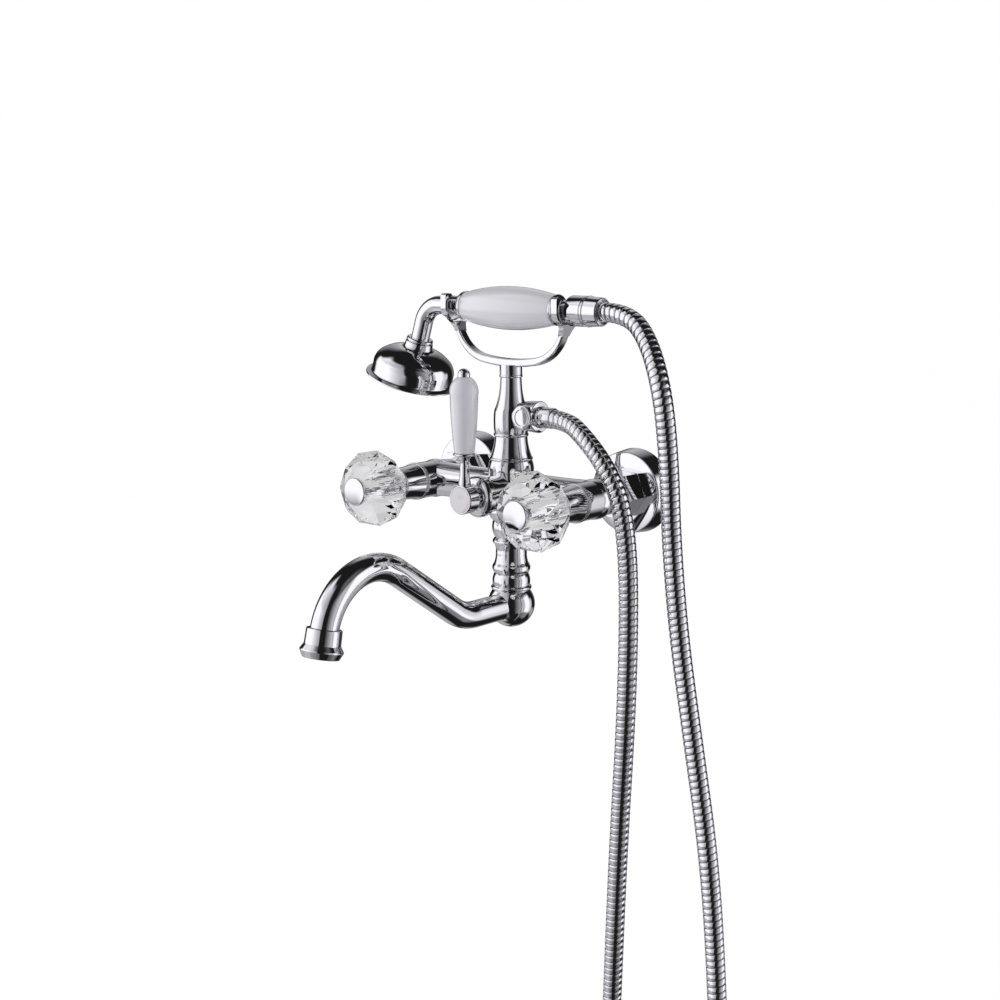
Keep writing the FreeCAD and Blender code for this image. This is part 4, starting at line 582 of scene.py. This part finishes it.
# %% Turn the post and the swivel, then bend the tube
post = [(6, -23), (13, -23), (11.8, -35.4, -1.5), (12.4, -36.4), (12.4, -40.6, -1.2), (11.4, -47, 0.6),
        (12.7, -55, 0.5), (12.4, -61.8, -1.4), (9.2, -61.8), (9.2, -78), (8.4, -78.8), (6, -78.8)]
fit(turned("spout_stem", post, UP, spot(0, COLUMN, 0), edge=0.25), chrome, "chrome", "mixer", "spout_post")
ball = [(0, -62.1), (12.3, -62.1), (13.4, -71.3, -0.9), (14, -71.3), (14, -74.2, -0.9), (12.8, -73.81),
        (17.2, -85.3, -1.14), (0, -102.5, -5.04)]
fit(turned("swivel_ball", ball, UP, spot(0, COLUMN, 0), edge=0.25), chrome, "chrome", "spout", "spout_hub")


BEND_STEP = 2.5


def seal_ends(weld, degrees):
    """Welds the skin being edited, fills its two open ends, turns its faces outwards and smooths it."""
    bpy.ops.mesh.select_all(action="SELECT")
    bpy.ops.mesh.remove_doubles(threshold=weld)
    bpy.ops.mesh.select_all(action="DESELECT")
    bpy.ops.mesh.select_mode(type="EDGE")
    bpy.ops.mesh.select_non_manifold()
    bpy.ops.mesh.edge_face_add()
    bpy.ops.mesh.select_mode(type="VERT")
    bpy.ops.mesh.select_all(action="SELECT")
    bpy.ops.mesh.normals_make_consistent(inside=False)
    bpy.ops.object.mode_set(mode="OBJECT")
    bpy.ops.object.shade_smooth_by_angle(angle=math.radians(degrees))


def bent_tube(name, radius, start, facing, moves, sides=64):
    """A round tube: moves are straights (a vector) or bends (centre, axis, degrees by the right hand)."""
    bpy.ops.object.select_all(action="DESELECT")
    bpy.ops.mesh.primitive_circle_add(vertices=sides, radius=radius * MM, location=start, fill_type="NOTHING",
                                      rotation=facing.to_euler())
    tube = bpy.context.object
    tube.name = name
    bpy.ops.object.transform_apply()
    bpy.ops.object.mode_set(mode="EDIT")
    bpy.ops.mesh.select_all(action="SELECT")
    for move in moves:
        if isinstance(move, Vector):
            bpy.ops.mesh.extrude_region_move(TRANSFORM_OT_translate={"value": tuple(move)})
        else:
            centre, axis, degrees = move
            bpy.ops.mesh.spin(steps=max(8, round(abs(degrees) / BEND_STEP)), angle=-math.radians(degrees),
                              center=centre, axis=axis)
    seal_ends(weld=2e-7, degrees=40)
    return tube


def level(reach, down):
    """A place on the spout's own plane."""
    return spot(0, COLUMN + reach, -down)


root, low_in, low_out = level(10.8, 86), level(41.12, 86), level(63.2, 79.36)
arch_in, arch_out, tip = level(118.16, 42.98), level(187.02, 71.14), level(187.64, 74.08)
swan = bent_tube("swan_neck", 9.6, root, OUT, [
    low_in - root,
    (level(41.12, 46), (1, 0, 0), -33.5),
    arch_in - low_out,
    (level(143, 80.5), (1, 0, 0), 111.5),
    tip - arch_out,
], 96)
fit(swan, chrome, "chrome", "spout", "spout_tube")

# %% [markdown]
# The aerator's collar is screwed over the end of the tube and looks the way the water goes, 78 degrees down. Its
# lip flares and turns in again at the mouth.

# %% Turn the aerator's collar
collar = [(9.7, -6), (11.3, -6), (11.9, -5.4), (12.2, 4.5), (14.5, 8.2), (14.5, 9), (12.3, 13.5), (10.9, 13.5),
          (10.9, 9.5), (7.6, 9.5), (7.6, 0), (9.7, 0)]
pour = math.radians(78)
water = Vector((0, -math.cos(pour), -math.sin(pour)))
fit(turned("aerator_collar", collar, Vector((0, 0, 1)).rotation_difference(water), tip, edge=0.3), chrome, "chrome",
    "spout", "aerator_housing")

# %% [markdown]
# ## The hand shower
# The neck is a bent tube with a ring where the bell begins. The bell is spun from sheet: a small neck, a shoulder,
# a full dome and a rolled rim, with the inside of the wall drawn as well because we can look under the rim. The
# grip is porcelain between two turned ferrules, and the right ferrule runs on into the connector for the hose.

# %% Bend the neck and turn the bell
HANDSET_UP = 129.6
TILT = 17.5
NECK_BEND = 18.0
tilt = math.radians(TILT)
down = Vector((-math.sin(tilt), 0, -math.cos(tilt)))
run_in = NECK_BEND * math.tan(math.radians((90 - TILT) / 2)) * MM
corner = spot(-80.9, COLUMN, HANDSET_UP)
shoulder = spot(-44.9, COLUMN, HANDSET_UP)
bend_in, bend_out = corner + Vector((run_in, 0, 0)), corner + down * run_in
bell_spot = corner + down * (26.5 / math.cos(tilt)) * MM
tube = bent_tube("neck_tube", 6.8, shoulder, LEFT, [
    bend_in - shoulder,
    (bend_in - Vector((0, 0, NECK_BEND * MM)), (0, 1, 0), TILT - 90),
    bell_spot - bend_out,
])
bell_way = Vector((0, 0, 1)).rotation_difference(down)
neck_ring = turned("neck_ring", [(0, -1.5), (9, -1.5), (9, 1.5, 1.0), (6.8, 1.5), (6.8, 7.5), (0, 7.5)], bell_way,
                   bell_spot, 64, 0.2)
journal = turned("journal", [(0, -56.2), (7.2, -56.2), (7.2, -44.9), (4.8, -44.9), (4.8, 63.4), (0, 63.4)], RIGHT,
                 spot(0, COLUMN, HANDSET_UP), 64)
fit(joined("shower_neck", tube, neck_ring, journal), chrome, "chrome", "handset", "handset_neck")
bell = [(7, 1.52), (10.3, 1.52), (10.6, 5.12), (13.5, 7.02, -0.6), (28, 15.02, 1.1), (30.7, 21.12, 0.4), (30.7, 28),
        (31.8, 29.5, -0.35), (34.3, 30.5), (34.7, 30.9, 0.1), (34.7, 31.6), (31.3, 31.6), (28.9, 29.8), (28.9, 21.12),
        (26.2, 15.72, -0.35), (13.3, 9.12, -0.9), (7, 5.72)]
fit(turned("bell", bell, bell_way, bell_spot, 128, 0.3), chrome, "chrome", "handset", "shower_bell")

# %% [markdown]
# The grip, its ferrules, the connector and the hose nut share one axis, the bar's. The left ferrule's lip laps a
# little over the porcelain, and a shallow groove parts the connector from its nut.

# %% Turn the grip, the ferrules and the hose nut
BAR = spot(0, COLUMN, HANDSET_UP)
front = [(4.9, -44.9), (7.25, -44.9), (7.25, -45.3), (8.2, -45.3), (9.7, -44.7, 0.2), (10.9, -43, 0.25),
         (10.8, -40.9, 0.2), (10.6, -40.9), (10.45, -41.5), (4.9, -41.5)]
fit(turned("left_ferrule", front, RIGHT, BAR, edge=0.2), chrome, "chrome", "handset", "front_ferrule")
bar = [(5, -41.5), (10.4, -41.5), (10.4, 41.5, 5.1), (5, 41.5)]
fit(turned("porcelain_bar", bar, RIGHT, BAR, 128, 0.6), porcelain, "porcelain", "handset", "handset_grip")
connector = [(4.9, 41.5), (10.4, 41.5), (10.4, 41.9), (10.4, 43.7, 0.6), (7.2, 44.9), (7.2, 55.4), (9.6, 55.4),
             (10.6, 56.4, 0.3), (10.6, 68.5), (9.9, 68.7), (9.9, 70.3), (10.7, 70.5), (10.7, 71.2, 0.2),
             (8.6, 71.2), (8.6, 77.25), (3.5, 77.25), (3.5, 63.6), (4.9, 63.6)]
fit(turned("connector", connector, RIGHT, BAR, edge=0.25), chrome, "chrome", "handset", "handset_connector")
nut = [(8.7, 71.25), (10.4, 71.25), (9.8, 81.6), (9.3, 82.2), (8.9, 82.2), (8.7, 79.4), (6.9, 79.4), (6.8, 82.2),
       (4.4, 82.2), (4.4, 78.9), (8.7, 78.9)]
fit(turned("hose_nut", nut, RIGHT, BAR, edge=0.2), chrome, "chrome", "handset", "handset_hose_nut")

# %% [markdown]
# ## The cradle
# The cradle is a flat U whose ends widen into forks. Its solid already has the right form, and so have the cut
# glass, the hexagon nuts and the fluted cores. So a copy of each is merged, its edges are bevelled where light
# should catch on them, it is smoothed by angle, and its shading is weighted by face size so that flats stay flat.


# %% Smooth a copy of the cradle, the nuts and the glass
def refined(name, node, degrees, bevel=0.0):
    """A merged copy of a solid with clean shading and, if asked, a fine bevel on its edges."""
    copy = bpy.data.objects.new(name, nodes[node].data.copy())
    bpy.context.scene.collection.objects.link(copy)
    alone(copy)
    bpy.ops.object.mode_set(mode="EDIT")
    bpy.ops.mesh.select_all(action="SELECT")
    bpy.ops.mesh.remove_doubles(threshold=2e-6)
    bpy.ops.mesh.dissolve_limited(angle_limit=math.radians(0.4))
    bpy.ops.object.mode_set(mode="OBJECT")
    if bevel:
        modifier = copy.modifiers.new("edges", "BEVEL")
        modifier.width, modifier.segments = bevel * MM, 2 if bevel < 1 else 4
        modifier.limit_method, modifier.angle_limit = "ANGLE", math.radians(12)
        bpy.ops.object.modifier_apply(modifier="edges")
    bpy.ops.object.shade_smooth_by_angle(angle=math.radians(degrees))
    modifier = copy.modifiers.new("flats", "WEIGHTED_NORMAL")
    modifier.keep_sharp = True
    bpy.ops.object.modifier_apply(modifier="flats")
    return copy


fit(refined("cradle", "handset_cradle", 35, 1.3), chrome, "chrome", "mixer", "handset_cradle")
for word in ("hot", "cold"):
    fit(refined("hexagon_nut_" + word, "union_nut_" + word, 25, 0.3), chrome, "chrome", "mixer", "union_nut_" + word)
    fit(refined("glass_" + word, "crystal_knob_" + word, 8, 0.08), crystal, "crystal", word + "_knob",
        "crystal_knob_" + word)
    fit(refined("fluted_core_" + word, "knob_insert_" + word, 30), chrome, "chrome", word + "_knob",
        "knob_insert_" + word)
fit(refined("gland", "diverter_gland", 30), chrome, "chrome", "mixer", "diverter_gland")

# %% [markdown]
# ## The hose
# The hose is one and a half metres of chromed strip, wound so that each turn hooks over the last. It leaves the
# outlet to the right, hangs down in a loop and comes back up to the hand shower. Its centre line is a NURBS curve
# led by a few listed points, because a real hose has no straight runs and no sharp corners. Each point is
# given as millimetres to the right, ahead of the column, and up.

# %% Draw the hose's centre line
ROUTE = [(27.4, 0, 53.7), (50.4, 0, 53.7), (71, 6, 44), (91, 8, 26), (105, 9, 4), (113, 11, -30), (116, 13, -80),
         (115, 14, -150), (109, 13, -240), (103, 10, -340), (98, 7, -430), (94, 5, -505), (95, 3, -565), (142, 1, -592),
         (189, 0, -565), (190, 0, -505), (189, 1, -430), (186, 1, -340), (178, 2, -240), (163, 3, -155), (151, 4, -85),
         (144.5, 5, -20), (144.5, 9, 34), (144.8, 17.8, 80.5), (124, 5.5, 113.5), (103, 0, 129.6), (82.5, 0, 129.6)]
line = bpy.data.curves.new("hose_line", "CURVE")
line.dimensions = "3D"
spline = line.splines.new("NURBS")
spline.points.add(len(ROUTE) - 1)
for point, (x, ahead, up) in zip(spline.points, ROUTE):
    point.co = (*spot(x, COLUMN + ahead, up), 1)
spline.order_u = 3
spline.use_endpoint_u = True
line.resolution_u = 32
guide = bpy.data.objects.new("hose_line", line)
centre = bpy.data.meshes.new_from_object(guide)
trail = np.array([v.co[:] for v in centre.vertices])
walked = np.concatenate([[0], np.cumsum(np.linalg.norm(np.diff(trail, axis=0), axis=1))])
bpy.data.objects.remove(guide)
print("centre line of", len(trail), "points,", round(walked[-1], 3), "m")

# %% [markdown]
# The strip is one long helix round that line. Its profile says, for each share of a turn, how far out the metal
# lies: a rounded turn, a faint step where the next one hooks in, and a narrow groove. The foot of the groove is
# painted shade: its two rows of faces take the black rubber finish, so that the groove looks dark. The line's
# direction is taken from a point `LOOK` ahead and one as far behind. At both ends the strip closes on the radius
# `STUB`.

# %% Wind the strip round it
PITCH = 4.65 * MM
AROUND = 28
LOOK = 0.5 * MM
STUB = 6.0
TURN_PROFILE = [(0.0, 6.1), (0.035, 6.12), (0.05, 6.5), (0.1, 6.68), (0.5, 6.7), (0.54, 6.64), (0.9, 6.62),
                (0.95, 6.45), (0.965, 6.1)]
GROOVE = (0, len(TURN_PROFILE) - 1)


def on_line(along):
    """Places this many metres along the centre line."""
    return np.stack([np.interp(along, walked, trail[:, k]) for k in range(3)], axis=1)


turns = int(walked[-1] / PITCH) + 1
step = np.arange(-AROUND, turns * AROUND + 1)
angle = -step * 2 * math.pi / AROUND
grid = []
for share, radius in TURN_PROFILE:
    along = np.clip((step / AROUND + share) * PITCH, 0, walked[-1])
    way = on_line(along + LOOK) - on_line(along - LOOK)
    way /= np.linalg.norm(way, axis=1)[:, None]
    side = np.cross(way, (0.0, -1.0, 0.0))
    side /= np.linalg.norm(side, axis=1)[:, None]
    over = np.cross(side, way)
    to_end = np.minimum(along, walked[-1] - along)
    thick = np.where(to_end < 1e-6, STUB, radius) * MM
    grid.append(on_line(along) + (side * np.cos(angle)[:, None] + over * np.sin(angle)[:, None]) * thick[:, None])
grid = np.array(grid)
rows, columns = grid.shape[:2]
# The two rows at the groove's foot are painted shade: they get the black rubber finish to darken the groove.
faces, groove_shade = [], []
for row in range(rows):
    shift = 0 if row < rows - 1 else AROUND
    for k in range(columns - 1 - shift):
        a, c = row * columns + k, (row + 1) % rows * columns + shift + k
        faces.append((a, a + 1, c + 1, c))
        groove_shade.append(int(row in GROOVE))
skin = bpy.data.meshes.new("shower_hose_strip")
skin.from_pydata(grid.reshape(-1, 3).tolist(), [], faces)
skin.materials.append(strip)
skin.materials.append(rubber_and_groove_shade)
skin.polygons.foreach_set("material_index", groove_shade)
hose = bpy.data.objects.new("hose_strip", skin)
bpy.context.scene.collection.objects.link(hose)
alone(hose)
bpy.ops.object.mode_set(mode="EDIT")
seal_ends(weld=1e-6, degrees=50)
print("hose", len(skin.polygons), "faces in", turns, "turns")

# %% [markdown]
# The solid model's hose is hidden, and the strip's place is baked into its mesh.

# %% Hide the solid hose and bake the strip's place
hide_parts("shower_hose")
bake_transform(hose)
